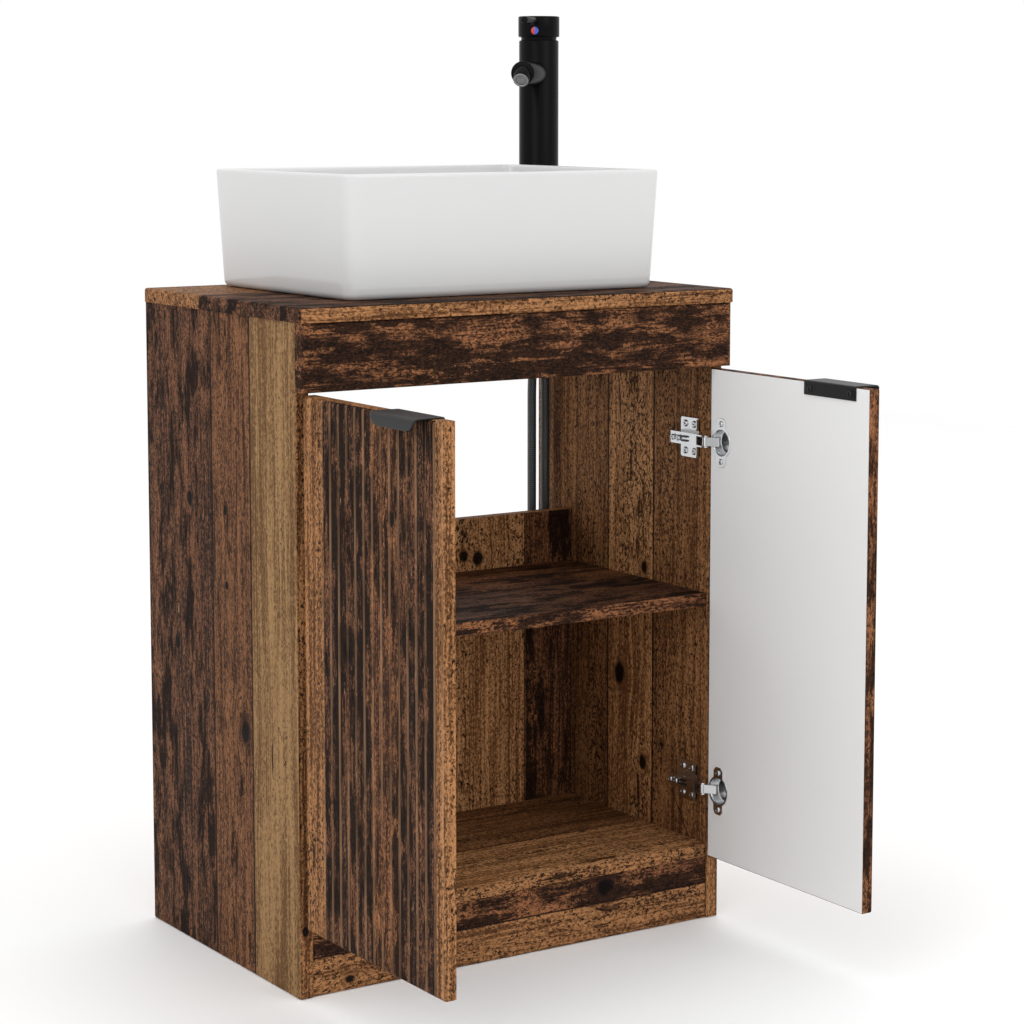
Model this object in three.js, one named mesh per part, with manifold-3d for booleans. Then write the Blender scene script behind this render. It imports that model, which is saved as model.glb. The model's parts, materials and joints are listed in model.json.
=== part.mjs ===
// Bathroom vanity cabinet with a countertop basin and a tall basin mixer tap.
// Millimetres, +Z up, +Y towards the wall. The origin is the middle of the plinth's underside.
// Inside the root group, x runs from the left side panel's outer face, y from the front edges of
// the side panels and z from the floor. Both doors are modelled open at a right angle.

import * as THREE from "three";
import { mergeVertices } from "three/addons/utils/BufferGeometryUtils.js";
import Module from "manifold-3d";

const wasm = await Module();
wasm.setup();

// ---------------------------------------------------------------- driving dimensions
const carcassWidth = 564;
const carcassDepth = 361;
const counterHeight = 750;
const board = 16;
const gap = 0.3;                     // clearance left round a piece that sits in a cut

const topSideOverhang = 3;
const topFrontOverhang = 20;
const topEdgeRadius = 3;
const topCornerRadius = 4;

const apronHeight = 74;
const apronThickness = 18;
const apronEdgeRadius = 2;
const bracketLeg = 20;
const bracketSheet = 2;
const bracketHeight = 30;
const plinthHeight = 74;
const plinthSetback = 2;
const shelfBottom = 375;
const backPanelFront = 284;
const backPanelTop = 456;
const railHeight = 80;

const doorWidth = 280;
const doorBottom = 78;
const doorTop = 657;
const doorOuterX = 4;                // outer face of the opened door
const doorHingeY = -7;               // hinge edge of the opened door
const doorEdgeRadius = 4;
const fluteCount = 13;
const fluteMargin = 14;
const fluteDepth = 2;
const fluteHalfWidth = 2;
const hingeStileWidth = 42;

const hingeHeights = [160, 572];
const cupInset = 20.5;               // cup centre from the door's hinge edge
const cupRadius = 17.5;
const cupDepth = 11.5;
const linkPivot = [28, -6];
const linkTip = [18.5, -20];

const handleLength = 88;
const handleInset = 21.5;            // from the door's free edge
const handleSheet = 1.6;
const handleReach = 18;
const handleLip = 12;
const handlePlate = 14.6;
const handleScrewRadius = 1.6;
const handleScrewLength = 10;

const basinCentre = [289, 186.5];
const basinRim = [420, 317];
const basinBase = [409, 301];
const basinHeight = 137;
const basinWall = 9;
const basinFloor = 16;
const basinCorner = 16;
const bowlCorner = 12;

const drainRadius = 23;
const wasteBore = 18.5;
const wasteWall = 21.5;
const wasteFlange = 31;
const tailRadius = 16;
const tailBottom = 672;

const tapAxis = [526, 328];
const tapRadius = 24.5;
const tapBodyHeight = 290;
const capRadius = 25.5;
const capHeight = 25.5;
const capGap = 4;
const cartridgeSeat = 264;
const cartridgeRadius = 19;
const spoutHeight = 248.6;
const spoutRadius = 14.5;
const spoutReach = 100;
const outletRadius = 10;
const leverReach = 90;
const leverRadius = 4.3;
const leverHeight = 313;
const tapHeading = new THREE.Vector3(-Math.SQRT1_2, -Math.SQRT1_2, 0);

const shankRadius = 16.5;
const tapHoleRadius = 17.5;
const hoseRadius = 5.5;
const hoseStart = 6.5;               // from the tap's axis to each hose at the top
const hoseSpread = 10;               // and lower down, where the hoses hang apart
const hoseTop = 690;
const hoseBottom = 212;
const ferruleLength = 42;
const hoseNutLength = 22;

const right = carcassWidth - board;  // inner face of the right side panel
const topBottom = counterHeight - board;
const apronBottom = topBottom - apronHeight;
const bottomTop = plinthHeight + board;

// ---------------------------------------------------------------- finishes
const finish = (color, roughness, metalness) =>
  new THREE.MeshStandardMaterial({ color, roughness, metalness });

const darkWood = finish(0x4b3222, 0.6, 0);
const midWood = finish(0x6f4a2e, 0.6, 0);
const tanWood = finish(0x9c7148, 0.6, 0);
const whiteCeramic = finish(0xf4f4f2, 0.12, 0);
const blackMetal = finish(0x1c1c1d, 0.45, 0.6);
const zinc = finish(0xc9cbcd, 0.3, 1);
const chrome = finish(0xdfe1e3, 0.12, 1);
const brass = finish(0xb08d4a, 0.35, 1);
const greyRubber = finish(0x3c3e40, 0.8, 0);
const hoseBraid = finish(0x55585b, 0.5, 0.5);
const redBlue = finish(0x8a4070, 0.4, 0);
const blackPlastic = finish(0x202020, 0.5, 0);

// ---------------------------------------------------------------- geometry helpers
const axisX = new THREE.Vector3(1, 0, 0);
const axisY = new THREE.Vector3(0, 1, 0);
const axisZ = new THREE.Vector3(0, 0, 1);

// Keep only positions, share equal vertices and drop triangles that collapse to a line.
function weld(geometry) {
  const bare = new THREE.BufferGeometry();
  bare.setAttribute("position", geometry.getAttribute("position").clone());
  if (geometry.index) bare.setIndex(Array.from(geometry.index.array));
  const merged = mergeVertices(bare, 1e-4);
  const kept = [];
  const corners = merged.index.array;
  for (let i = 0; i < corners.length; i += 3) {
    const [a, b, c] = [corners[i], corners[i + 1], corners[i + 2]];
    if (a !== b && b !== c && a !== c) kept.push(a, b, c);
  }
  merged.setIndex(kept);
  return merged;
}

// Six times the signed volume, which is negative when the faces point inwards.
function signedVolume(geometry) {
  const p = geometry.getAttribute("position");
  const corners = geometry.index.array;
  const [a, b, c] = [new THREE.Vector3(), new THREE.Vector3(), new THREE.Vector3()];
  let sum = 0;
  for (let i = 0; i < corners.length; i += 3) {
    a.fromBufferAttribute(p, corners[i]);
    b.fromBufferAttribute(p, corners[i + 1]);
    c.fromBufferAttribute(p, corners[i + 2]);
    sum += a.dot(b.cross(c));
  }
  return sum;
}

function outward(geometry) {
  const closed = weld(geometry);
  if (signedVolume(closed) < 0) closed.setIndex(Array.from(closed.index.array).reverse());
  return closed;
}

function toSolid(geometry) {
  const closed = outward(geometry);
  return new wasm.Manifold(new wasm.Mesh({
    numProp: 3,
    vertProperties: new Float32Array(closed.getAttribute("position").array),
    triVerts: new Uint32Array(closed.index.array),
  }));
}

function toGeometry(solid) {
  const mesh = solid.getMesh();
  const geometry = new THREE.BufferGeometry();
  geometry.setAttribute("position", new THREE.BufferAttribute(mesh.vertProperties, 3));
  geometry.setIndex(Array.from(mesh.triVerts));
  return geometry;
}

const combine = (method) => (first, ...rest) =>
  toGeometry(rest.reduce((solid, other) => solid[method](toSolid(other)), toSolid(first)));
const join = combine("add");
const cut = combine("subtract");
const common = combine("intersect");

function box([x0, y0, z0], [x1, y1, z1]) {
  const geometry = new THREE.BoxGeometry(Math.abs(x1 - x0), Math.abs(y1 - y0), Math.abs(z1 - z0));
  return geometry.translate((x0 + x1) / 2, (y0 + y1) / 2, (z0 + z1) / 2);
}

// Extrude an outline drawn in x and y from z0 to z1.
function alongZ(shape, z0, z1, options = {}) {
  const settings = { depth: z1 - z0, bevelEnabled: false, curveSegments: 4, ...options };
  return new THREE.ExtrudeGeometry(shape, settings).translate(0, 0, z0);
}

// Extrude an outline drawn in y and z from x0 to x1.
function alongX(shape, x0, x1) {
  return alongZ(shape, x0, x1).applyMatrix4(new THREE.Matrix4().makeBasis(axisY, axisZ, axisX));
}

// Extrude an outline drawn in x and z from y0 to y1.
function alongY(shape, y0, y1) {
  const basis = new THREE.Matrix4().makeBasis(axisX, axisZ, axisY.clone().negate());
  return alongZ(shape, -y1, -y0).applyMatrix4(basis);
}

function roundedRect(x0, y0, x1, y1, r) {
  const shape = new THREE.Shape();
  shape.moveTo(x0 + r, y0);
  shape.lineTo(x1 - r, y0);
  shape.absarc(x1 - r, y0 + r, r, -Math.PI / 2, 0, false);
  shape.lineTo(x1, y1 - r);
  shape.absarc(x1 - r, y1 - r, r, 0, Math.PI / 2, false);
  shape.lineTo(x0 + r, y1);
  shape.absarc(x0 + r, y1 - r, r, Math.PI / 2, Math.PI, false);
  shape.lineTo(x0, y0 + r);
  shape.absarc(x0 + r, y0 + r, r, Math.PI, 1.5 * Math.PI, false);
  return shape;
}

const outline = (points) => new THREE.Shape(points.map(([x, y]) => new THREE.Vector2(x, y)));

// A cylinder from point a to point b.
function rod(a, b, radius, sides = 20) {
  const start = new THREE.Vector3(...a);
  const end = new THREE.Vector3(...b);
  const geometry = new THREE.CylinderGeometry(radius, radius, start.distanceTo(end), sides);
  const heading = end.clone().sub(start).normalize();
  geometry.applyQuaternion(new THREE.Quaternion().setFromUnitVectors(axisY, heading));
  return geometry.translate(...start.add(end).multiplyScalar(0.5).toArray());
}

// Turn a profile of [radius, height] points about the vertical line through [x, y].
function turned(profile, [x, y], z, sides = 28) {
  const points = profile.map(([r, h]) => new THREE.Vector2(r, h));
  return new THREE.LatheGeometry(points, sides).rotateX(Math.PI / 2).translate(x, y, z);
}

// A tube or ring with inner and outer radius between two heights.
const ring = (inner, outer, z0, z1, centre, sides) =>
  turned([[inner, z0], [outer, z0], [outer, z1], [inner, z1], [inner, z0]], centre, 0, sides);

// A hexagonal nut round a vertical bore.
function nut([x, y], radius, bore, z0, z1) {
  return cut(rod([x, y, z0], [x, y, z1], radius, 6), rod([x, y, z0 - 1], [x, y, z1 + 1], bore, 24));
}

const root = new THREE.Group();
root.position.set(-carcassWidth / 2, -(plinthSetback + board / 2), 0);

function add(name, geometry, material) {
  const mesh = new THREE.Mesh(outward(geometry), material);
  mesh.name = name;
  root.add(mesh);
}

// The left piece's x is kept and the right piece's x is mirrored in the cabinet's middle.
const sides = [
  { name: "left", x: (x) => x, inwards: 1 },
  { name: "right", x: (x) => carcassWidth - x, inwards: -1 },
];

const pinHoles = [70, 230];          // shelf pins, from the front edge
const pinRadius = 2.5;
const pinHoleDepth = 8;
const pinReach = 10;                 // from the side panel's face to the pin's end
const pinHeight = shelfBottom - pinRadius;

// ---------------------------------------------------------------- carcass
function sidePanel(side) {
  const panel = box([side.x(0), 0, 0], [side.x(board), carcassDepth, topBottom]);
  const holes = pinHoles.map((y) =>
    rod([side.x(board - pinHoleDepth), y, pinHeight], [side.x(board + 1), y, pinHeight],
      pinRadius + gap, 12));
  add(`${side.name}_side_panel`, cut(panel, ...holes), darkWood);
}

function shelfPins(side) {
  for (const [i, y] of pinHoles.entries()) {
    const inner = side.x(board - pinHoleDepth + gap);
    const shank = rod([inner, y, pinHeight], [side.x(board + pinReach), y, pinHeight], pinRadius - 0.05, 12);
    const collar = rod([side.x(board + gap), y, pinHeight - 2], [side.x(board + 2), y, pinHeight - 2],
      4.2, 12);
    add(`shelf_pin_${side.name}_${["front", "rear"][i]}`, join(shank, collar), chrome);
  }
}

function topPanel() {
  const r = topEdgeRadius;
  const slab = roundedRect(-topSideOverhang + r, -topFrontOverhang + r,
    carcassWidth + topSideOverhang - r, carcassDepth - r, topCornerRadius);
  const upper = alongZ(slab, counterHeight - 2 * r, counterHeight - r,
    { bevelEnabled: true, bevelThickness: r, bevelSize: r, bevelSegments: 3 });
  const lower = alongZ(roundedRect(-topSideOverhang, -topFrontOverhang,
    carcassWidth + topSideOverhang, carcassDepth, topCornerRadius + r), topBottom, counterHeight - 2 * r);
  const hole = (at, radius) => rod([...at, topBottom - 1], [...at, counterHeight + 1], radius, 28);
  add("top_panel", cut(join(upper, lower), hole(basinCentre, drainRadius + 2), hole(tapAxis, tapHoleRadius)),
    midWood);
}

function apron() {
  const r = apronEdgeRadius;
  const face = alongX(roundedRect(-apronThickness, apronBottom, 0, topBottom, r), 0, carcassWidth);
  const ends = alongZ(roundedRect(0, -apronThickness, carcassWidth, 0, r), apronBottom, topBottom);
  add("apron", common(face, ends), darkWood);
}

function apronBracket(side) {
  const [leg, t] = [bracketLeg, bracketSheet];
  const angle = [[0, 0], [leg, 0], [leg, t], [t, t], [t, leg], [0, leg]];
  const profile = outline(angle.map(([x, y]) => [side.x(board + x), y]));
  const from = apronBottom + (apronHeight - bracketHeight) / 2;
  add(`apron_bracket_${side.name}`, alongZ(profile, from, from + bracketHeight), zinc);
}

function carcass() {
  for (const side of sides) {
    sidePanel(side);
    shelfPins(side);
    apronBracket(side);
  }
  topPanel();
  apron();
  add("bottom_panel", box([board, plinthSetback, plinthHeight], [right, backPanelFront, bottomTop]), tanWood);
  add("plinth", box([board, plinthSetback, 0], [right, plinthSetback + board, plinthHeight]), midWood);
  add("back_panel", box([board, backPanelFront, 0], [right, backPanelFront + board, backPanelTop]), tanWood);
  add("rear_rail", box([board, backPanelFront, topBottom - railHeight],
    [right, backPanelFront + board, topBottom]), tanWood);
  add("shelf", box([board + 0.5, 4, shelfBottom],
    [right - 0.5, backPanelFront - 0.5, shelfBottom + board]), midWood);
}

// ---------------------------------------------------------------- doors
const doorFreeY = doorHingeY - doorWidth;
const doorInnerX = doorOuterX + board;
const cupY = doorHingeY - cupInset;
const screwSpots = [-34, 34];        // handle screws, from the middle of the handle
const handleFrom = doorFreeY + handleInset;
const handleMiddle = handleFrom + handleLength / 2;
const handleScrewZ = doorTop - 7.5;

// Plan outline of the opened door: a smooth stile by the hinges, then V grooves.
function doorPlan(side) {
  const points = [[doorInnerX, doorHingeY], [doorOuterX, doorHingeY]];
  const start = doorHingeY - hingeStileWidth;
  const pitch = (start - (doorFreeY + fluteMargin)) / fluteCount;
  for (let i = 0; i <= fluteCount; i += 1) {
    const y = start - i * pitch;
    points.push([doorOuterX, y + fluteHalfWidth], [doorOuterX + fluteDepth, y],
      [doorOuterX, y - fluteHalfWidth]);
  }
  points.push([doorOuterX, doorFreeY + doorEdgeRadius]);
  points.push([doorOuterX + doorEdgeRadius * 0.3, doorFreeY + doorEdgeRadius * 0.3]);
  points.push([doorOuterX + doorEdgeRadius, doorFreeY], [doorInnerX, doorFreeY]);
  return outline(points.map(([x, y]) => [side.x(x), y]));
}

// Section of the door from the front: the outer face's upper and lower edges are rounded.
function doorSection(side) {
  const r = doorEdgeRadius;
  const edge = [[doorInnerX, doorBottom], [doorInnerX, doorTop], [doorOuterX + r, doorTop],
    [doorOuterX + 0.3 * r, doorTop - 0.3 * r], [doorOuterX, doorTop - r],
    [doorOuterX, doorBottom + r], [doorOuterX + 0.3 * r, doorBottom + 0.3 * r],
    [doorOuterX + r, doorBottom]];
  return outline(edge.map(([x, z]) => [side.x(x), z]));
}

function doorLeaf(side) {
  const leaf = common(alongZ(doorPlan(side), doorBottom, doorTop),
    alongY(doorSection(side), doorFreeY, doorHingeY));
  const cupHoles = hingeHeights.map((z) =>
    rod([side.x(doorInnerX - cupDepth - gap), cupY, z], [side.x(doorInnerX + 1), cupY, z],
      cupRadius + gap, 24));
  const screwHoles = screwSpots.map((y) =>
    rod([side.x(doorInnerX - handleScrewLength - gap), handleMiddle + y, handleScrewZ],
      [side.x(doorInnerX + 1), handleMiddle + y, handleScrewZ], handleScrewRadius + gap, 8));
  add(`${side.name}_door`, cut(leaf, ...cupHoles, ...screwHoles), darkWood);
}

function doorHandle(side) {
  const t = handleSheet;
  const lipX = doorOuterX - handleReach;
  const from = handleFrom;
  const to = handleFrom + handleLength;
  const bend = [[lipX, doorTop - handleLip], [lipX, doorTop + t], [doorInnerX + t, doorTop + t],
    [doorInnerX + t, doorTop - handlePlate], [doorInnerX, doorTop - handlePlate], [doorInnerX, doorTop],
    [lipX + t, doorTop], [lipX + t, doorTop - handleLip]];
  const hook = alongY(outline(bend.map(([x, z]) => [side.x(x), z])), from, to);
  const face = new THREE.Shape();
  face.moveTo(from, doorTop + t);
  face.lineTo(from, doorTop);
  face.absarc(from + handleLip, doorTop, handleLip, Math.PI, 1.5 * Math.PI, false);
  face.lineTo(from + handleLip, doorTop - handlePlate);
  face.lineTo(to - handleLip, doorTop - handlePlate);
  face.lineTo(to - handleLip, doorTop - handleLip);
  face.absarc(to - handleLip, doorTop, handleLip, 1.5 * Math.PI, 2 * Math.PI, false);
  face.lineTo(to, doorTop + t);
  const backPlate = box([side.x(doorInnerX), from, doorTop - handlePlate],
    [side.x(doorInnerX + t), to, doorTop]);
  const [x0, x1] = [side.x(lipX - 1), side.x(doorInnerX + t + 1)].sort((a, b) => a - b);
  const bent = join(common(hook, alongX(face, x0, x1)), backPlate);
  const holes = screwSpots.map((y) => rod([side.x(doorInnerX - 1), handleMiddle + y, handleScrewZ],
    [side.x(doorInnerX + t + 1), handleMiddle + y, handleScrewZ], handleScrewRadius + gap, 8));
  add(`${side.name}_handle`, cut(bent, ...holes), blackMetal);
}

function handleScrews(side) {
  for (const [i, y] of screwSpots.entries()) {
    const at = (x) => [side.x(x), handleMiddle + y, handleScrewZ];
    const shank = rod(at(doorInnerX - handleScrewLength), at(doorInnerX + handleSheet + 0.5),
      handleScrewRadius, 8);
    const head = rod(at(doorInnerX + handleSheet), at(doorInnerX + handleSheet + 1.8), 3.5, 12);
    add(`handle_screw_${side.name}_${i + 1}`, join(shank, head), blackMetal);
  }
}

// ---------------------------------------------------------------- concealed hinges
const plateFront = 19;
const plateRear = 54;
const plateHalfHeight = 23.5;
const plateThickness = 2;
const armRear = 58;
const armTop = 30;                   // x of the arm's inner-most face on the left side
const armHalfWidth = 7;
const armSheet = 1.5;
const linkHalf = 5;
const linkRadius = 1.5;
const ribHeight = 10;
const plateScrewRadius = 2.2;
const cupFlange = 1.2;
const hingeNames = ["lower", "upper"];

function hingePlate(side, label, z) {
  const wing = box([side.x(board), plateFront, z - plateHalfHeight],
    [side.x(board + plateThickness), plateRear, z + plateHalfHeight]);
  const rib = box([side.x(board), plateFront + 1, z - ribHeight / 2],
    [side.x(board + ribHeight), plateRear + 3, z + ribHeight / 2]);
  const screwHoles = [plateFront + 9, plateRear - 9].flatMap((y) => [-16, 16].map((dz) =>
    rod([side.x(board - 1), y, z + dz], [side.x(board + plateThickness + 1), y, z + dz],
      plateScrewRadius, 10)));
  add(`hinge_plate_${side.name}_${label}`, cut(join(wing, rib), ...screwHoles), zinc);
}

function hingeArm(side, label, z) {
  const [px, py] = linkPivot;
  const low = board + plateThickness + gap;
  const profile = outline([[low, armRear], [armTop, armRear], [armTop, 8], [px + 3.5, py + 2],
    [px + 2.5, py - 2.5], [px, py - 3.5], [px - 2.5, py - 2.5], [px - 3.5, py + 1], [px - 4, 6],
    [low + 1, 14], [low, 20]].map(([x, y]) => [side.x(x), y]));
  const channel = box([side.x(low - 1), 11, z - armHalfWidth + armSheet],
    [side.x(armTop - armSheet), armRear + 1, z + armHalfWidth - armSheet]);
  const slot = box([side.x(low - 1), py - 5, z - linkHalf - gap],
    [side.x(armTop + 3), 8, z + linkHalf + gap]);
  const pinHole = rod([side.x(px), py, z - armHalfWidth - 1], [side.x(px), py, z + armHalfWidth + 1],
    linkRadius + gap, 12);
  const arm = alongZ(profile, z - armHalfWidth, z + armHalfWidth);
  add(`hinge_arm_${side.name}_${label}`, cut(arm, channel, slot, pinHole), zinc);
}

function hingeLink(side, label, z) {
  const pivot = new THREE.Vector2(...linkPivot);
  const tip = new THREE.Vector2(...linkTip);
  const across = tip.clone().sub(pivot).normalize().rotateAround(new THREE.Vector2(), Math.PI / 2);
  const corners = [[pivot, 1], [tip, 1], [tip, -1], [pivot, -1]].map(([end, s]) =>
    end.clone().addScaledVector(across, s * linkRadius));
  const bar = alongZ(outline(corners.map((c) => [side.x(c.x), c.y])), z - linkHalf, z + linkHalf);
  const upright = ([x, y], radius, half) =>
    rod([side.x(x), y, z - half], [side.x(x), y, z + half], radius, 12);
  const knuckle = upright(linkPivot, 3, linkHalf);
  const pin = upright(linkPivot, linkRadius, armHalfWidth);
  const stub = upright(linkTip, linkRadius, linkHalf);
  add(`hinge_link_${side.name}_${label}`, join(bar, knuckle, pin, stub), zinc);
}

function hingeCup(side, label, z) {
  const flange = alongX(roundedRect(cupY - 8.5, z - 28.5, cupY + 8.5, z + 28.5, 5),
    ...[side.x(doorInnerX), side.x(doorInnerX + cupFlange)].sort((a, b) => a - b));
  const at = (x) => [side.x(x), cupY, z];
  const cup = rod(at(doorInnerX - cupDepth), at(doorInnerX + cupFlange), cupRadius, 24);
  const hollow = rod(at(doorInnerX - cupDepth + 1), at(doorInnerX + 3), cupRadius - 2, 24);
  const screwHoles = [-22, 22].map((dz) => rod([side.x(doorInnerX - 1), cupY, z + dz],
    [side.x(doorInnerX + 3), cupY, z + dz], plateScrewRadius, 10));
  add(`hinge_cup_${side.name}_${label}`, cut(join(flange, cup), hollow, ...screwHoles), zinc);
}

function doors() {
  for (const side of sides) {
    doorLeaf(side);
    doorHandle(side);
    handleScrews(side);
    hingeHeights.forEach((z, i) => {
      hingePlate(side, hingeNames[i], z);
      hingeArm(side, hingeNames[i], z);
      hingeLink(side, hingeNames[i], z);
      hingeCup(side, hingeNames[i], z);
    });
  }
}

// ---------------------------------------------------------------- basin
// Extrude a rounded rectangle upwards and pull each level in to its own half width and half depth.
function tapered(halfWidth, halfDepth, corner, heights, halfAt) {
  const base = heights[0];
  const height = heights[heights.length - 1] - base;
  const shape = roundedRect(-halfWidth, -halfDepth, halfWidth, halfDepth, corner);
  const geometry = alongZ(shape, 0, heights.length - 1, { steps: heights.length - 1, curveSegments: 6 });
  const p = geometry.getAttribute("position");
  for (let i = 0; i < p.count; i += 1) {
    const level = heights[Math.round(p.getZ(i))];
    const [w, d] = halfAt((level - base) / height, level - base);
    p.setXYZ(i, p.getX(i) * w / halfWidth, p.getY(i) * d / halfDepth, level);
  }
  return geometry.translate(...basinCentre, 0);
}

const lerp = THREE.MathUtils.lerp;
const roundIn = (radius, rise) => radius - Math.sqrt(Math.max(0, radius ** 2 - (radius - rise) ** 2));

function basin() {
  const [rimX, rimY] = basinRim.map((v) => v / 2);
  const [baseX, baseY] = basinBase.map((v) => v / 2);
  const footRadius = 9;
  const rimRadius = 3.5;
  const outerAt = (t, rise) => {
    const pull = rise < footRadius ? roundIn(footRadius, rise) : 0;
    const left = basinHeight - rise;
    const tuck = left < rimRadius ? roundIn(rimRadius, left) : 0;
    return [lerp(baseX, rimX, t) - pull - tuck, lerp(baseY, rimY, t) - pull - tuck];
  };
  const outerLevels = [0, 1.5, 4.5, footRadius, basinHeight - rimRadius, basinHeight - 1, basinHeight];
  const outer = tapered(rimX, rimY, basinCorner, outerLevels.map((h) => counterHeight + h), outerAt);
  const bowlRadius = 26;
  const depth = basinHeight - basinFloor;
  const innerAt = (t, rise) => {
    const pull = rise < bowlRadius ? roundIn(bowlRadius, rise) : 0;
    return [lerp(baseX, rimX, t) - basinWall - pull, lerp(baseY, rimY, t) - basinWall - pull];
  };
  const innerLevels = [0, 3, 9, bowlRadius, depth, depth + 4].map((h) => counterHeight + basinFloor + h);
  const inner = tapered(rimX, rimY, bowlCorner, innerLevels, innerAt);
  const drain = rod([...basinCentre, counterHeight - 1], [...basinCentre, counterHeight + basinFloor + 5],
    drainRadius, 28);
  add("basin", cut(outer, inner, drain), whiteCeramic);
}

// ---------------------------------------------------------------- waste
function waste() {
  const floor = counterHeight + basinFloor;
  const c = basinCentre;
  const [bore, wall, tail] = [wasteBore, wasteWall, tailRadius];
  const neck = tailBottom + 24;
  const body = turned([[bore, floor + 2], [wasteFlange, floor + 1], [wasteFlange + 1, floor + gap],
    [wall, floor + gap], [wall, neck], [tail, neck - 2], [tail, tailBottom], [tail - 1.5, tailBottom],
    [tail - 1.5, neck], [bore, neck + 2], [bore, floor + 2]], c, 0);
  add("waste_body", body, chrome);
  add("waste_nut", ring(wall + gap, wasteFlange, topBottom - 10, topBottom, c), chrome);
  const dome = turned([[0, floor + 3], [28, floor + 3], [30, floor + 4], [28, floor + 6], [10, floor + 8],
    [0, floor + 8.5]], c, 0);
  add("waste_plug", join(dome, rod([...c, floor - 30], [...c, floor + 4], 4, 12)), chrome);
}

// ---------------------------------------------------------------- tap
const tapAt = (reach, height) => [tapAxis[0] + tapHeading.x * reach, tapAxis[1] + tapHeading.y * reach,
  counterHeight + height];

// The outlet leaves the end of the spout outwards and a little downwards.
const outletEnd = new THREE.Vector3(...tapAt(spoutReach + 9, spoutHeight - 8));
const outletWay = new THREE.Vector3(...tapAt(spoutReach + 25, spoutHeight - 18.4)).sub(outletEnd).normalize();
const outletAt = (distance) => outletEnd.clone().addScaledVector(outletWay, distance).toArray();

function tapBody() {
  const column = turned([[0, 0], [tapRadius, 0], [tapRadius, tapBodyHeight - 2],
    [tapRadius - 1.5, tapBodyHeight], [0, tapBodyHeight]], tapAxis, counterHeight, 36);
  const spout = rod(tapAt(0, spoutHeight), tapAt(spoutReach, spoutHeight), spoutRadius, 28);
  const outlet = rod(outletAt(-19), outletAt(0), outletRadius, 20);
  const lowerBore = rod(tapAt(0, -1), tapAt(0, cartridgeSeat), shankRadius + 0.5, 24);
  const cartridgeBore = rod(tapAt(0, cartridgeSeat - gap), tapAt(0, tapBodyHeight + 1),
    cartridgeRadius + gap, 24);
  const waterway = rod(tapAt(0, spoutHeight), tapAt(spoutReach - 8, spoutHeight), 8, 16);
  const outletBore = rod(outletAt(-18), outletAt(2), outletRadius - 2 + gap, 20);
  add("tap_body", cut(join(column, spout, outlet), lowerBore, cartridgeBore, waterway, outletBore),
    blackMetal);
}

function tapAerator() {
  const sleeve = rod(outletAt(-9), outletAt(1.6), outletRadius - 2, 20);
  const lip = rod(outletAt(gap), outletAt(1.6), outletRadius - 0.8, 20);
  const mouth = rod(outletAt(-7), outletAt(3), outletRadius - 3.4, 20);
  add("tap_aerator", cut(join(sleeve, lip), mouth), chrome);
}

function tapHead() {
  const seat = counterHeight + cartridgeSeat;
  const bodyTop = counterHeight + tapBodyHeight;
  const capBottom = bodyTop + capGap;
  const capTop = capBottom + capHeight;
  add("tap_cartridge", join(rod([...tapAxis, seat], [...tapAxis, bodyTop - 2], cartridgeRadius, 24),
    rod([...tapAxis, bodyTop - 3], [...tapAxis, bodyTop + 1], 12, 24)), blackPlastic);
  add("tap_bonnet_nut", ring(15, 22, bodyTop, bodyTop + 8, tapAxis, 24), brass);
  add("tap_spindle", join(rod([...tapAxis, bodyTop + 1 + gap], [...tapAxis, bodyTop + 6], 12, 20),
    rod([...tapAxis, bodyTop + 5], [...tapAxis, bodyTop + 10], 5, 12)), brass);
  const skirt = capRadius - 1.2;
  const roof = capBottom + 12;
  const shell = turned([[0, roof], [skirt - 1.3, roof], [skirt - 1.3, capBottom], [skirt, capBottom],
    [capRadius, capBottom + 1.5], [capRadius, capTop - 1], [capRadius - 1, capTop], [0, capTop]],
    tapAxis, 0, 36);
  const leverFrom = 18;
  const socket = rod(tapAt(leverFrom, leverHeight), tapAt(capRadius + 5, leverHeight),
    leverRadius + gap, 16);
  const dotRadius = 5;
  const dotHeight = tapBodyHeight + capGap + 7.5;
  const dotSeat = rod(tapAt(skirt - 0.1, dotHeight), tapAt(capRadius + 5, dotHeight), dotRadius + gap, 16);
  add("tap_cap", cut(shell, socket, dotSeat), blackMetal);
  const lever = rod(tapAt(leverFrom + gap, leverHeight), tapAt(leverReach, leverHeight), leverRadius, 16);
  add("tap_lever", lever, blackMetal);
  const dot = rod(tapAt(skirt - 0.1 + gap, dotHeight), tapAt(capRadius + 0.5, dotHeight), dotRadius, 16);
  add("tap_indicator", dot, redBlue);
}

function tapFixing() {
  const washerTop = topBottom;
  const nutTop = washerTop - 3;
  const outer = shankRadius + 4.5;
  const shank = ring(shankRadius - 3, shankRadius, topBottom - 40, counterHeight + 12, tapAxis, 24);
  add("tap_shank", shank, brass);
  add("tap_washer", ring(shankRadius + gap, outer, nutTop, washerTop, tapAxis, 24), greyRubber);
  add("tap_nut", nut(tapAxis, outer, shankRadius + gap, nutTop - 10, nutTop), brass);
}

// ---------------------------------------------------------------- supply hoses
// Each hose leaves its ferrule under the tap, spreads to the side and hangs straight down.
const hoseRoute = [[hoseStart, hoseTop], [hoseStart, hoseTop - 20], [7.6, hoseTop - 40], [9.3, hoseTop - 64],
  [hoseSpread, hoseTop - 90], [hoseSpread, hoseTop - 250], [hoseSpread, hoseBottom]];

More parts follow.
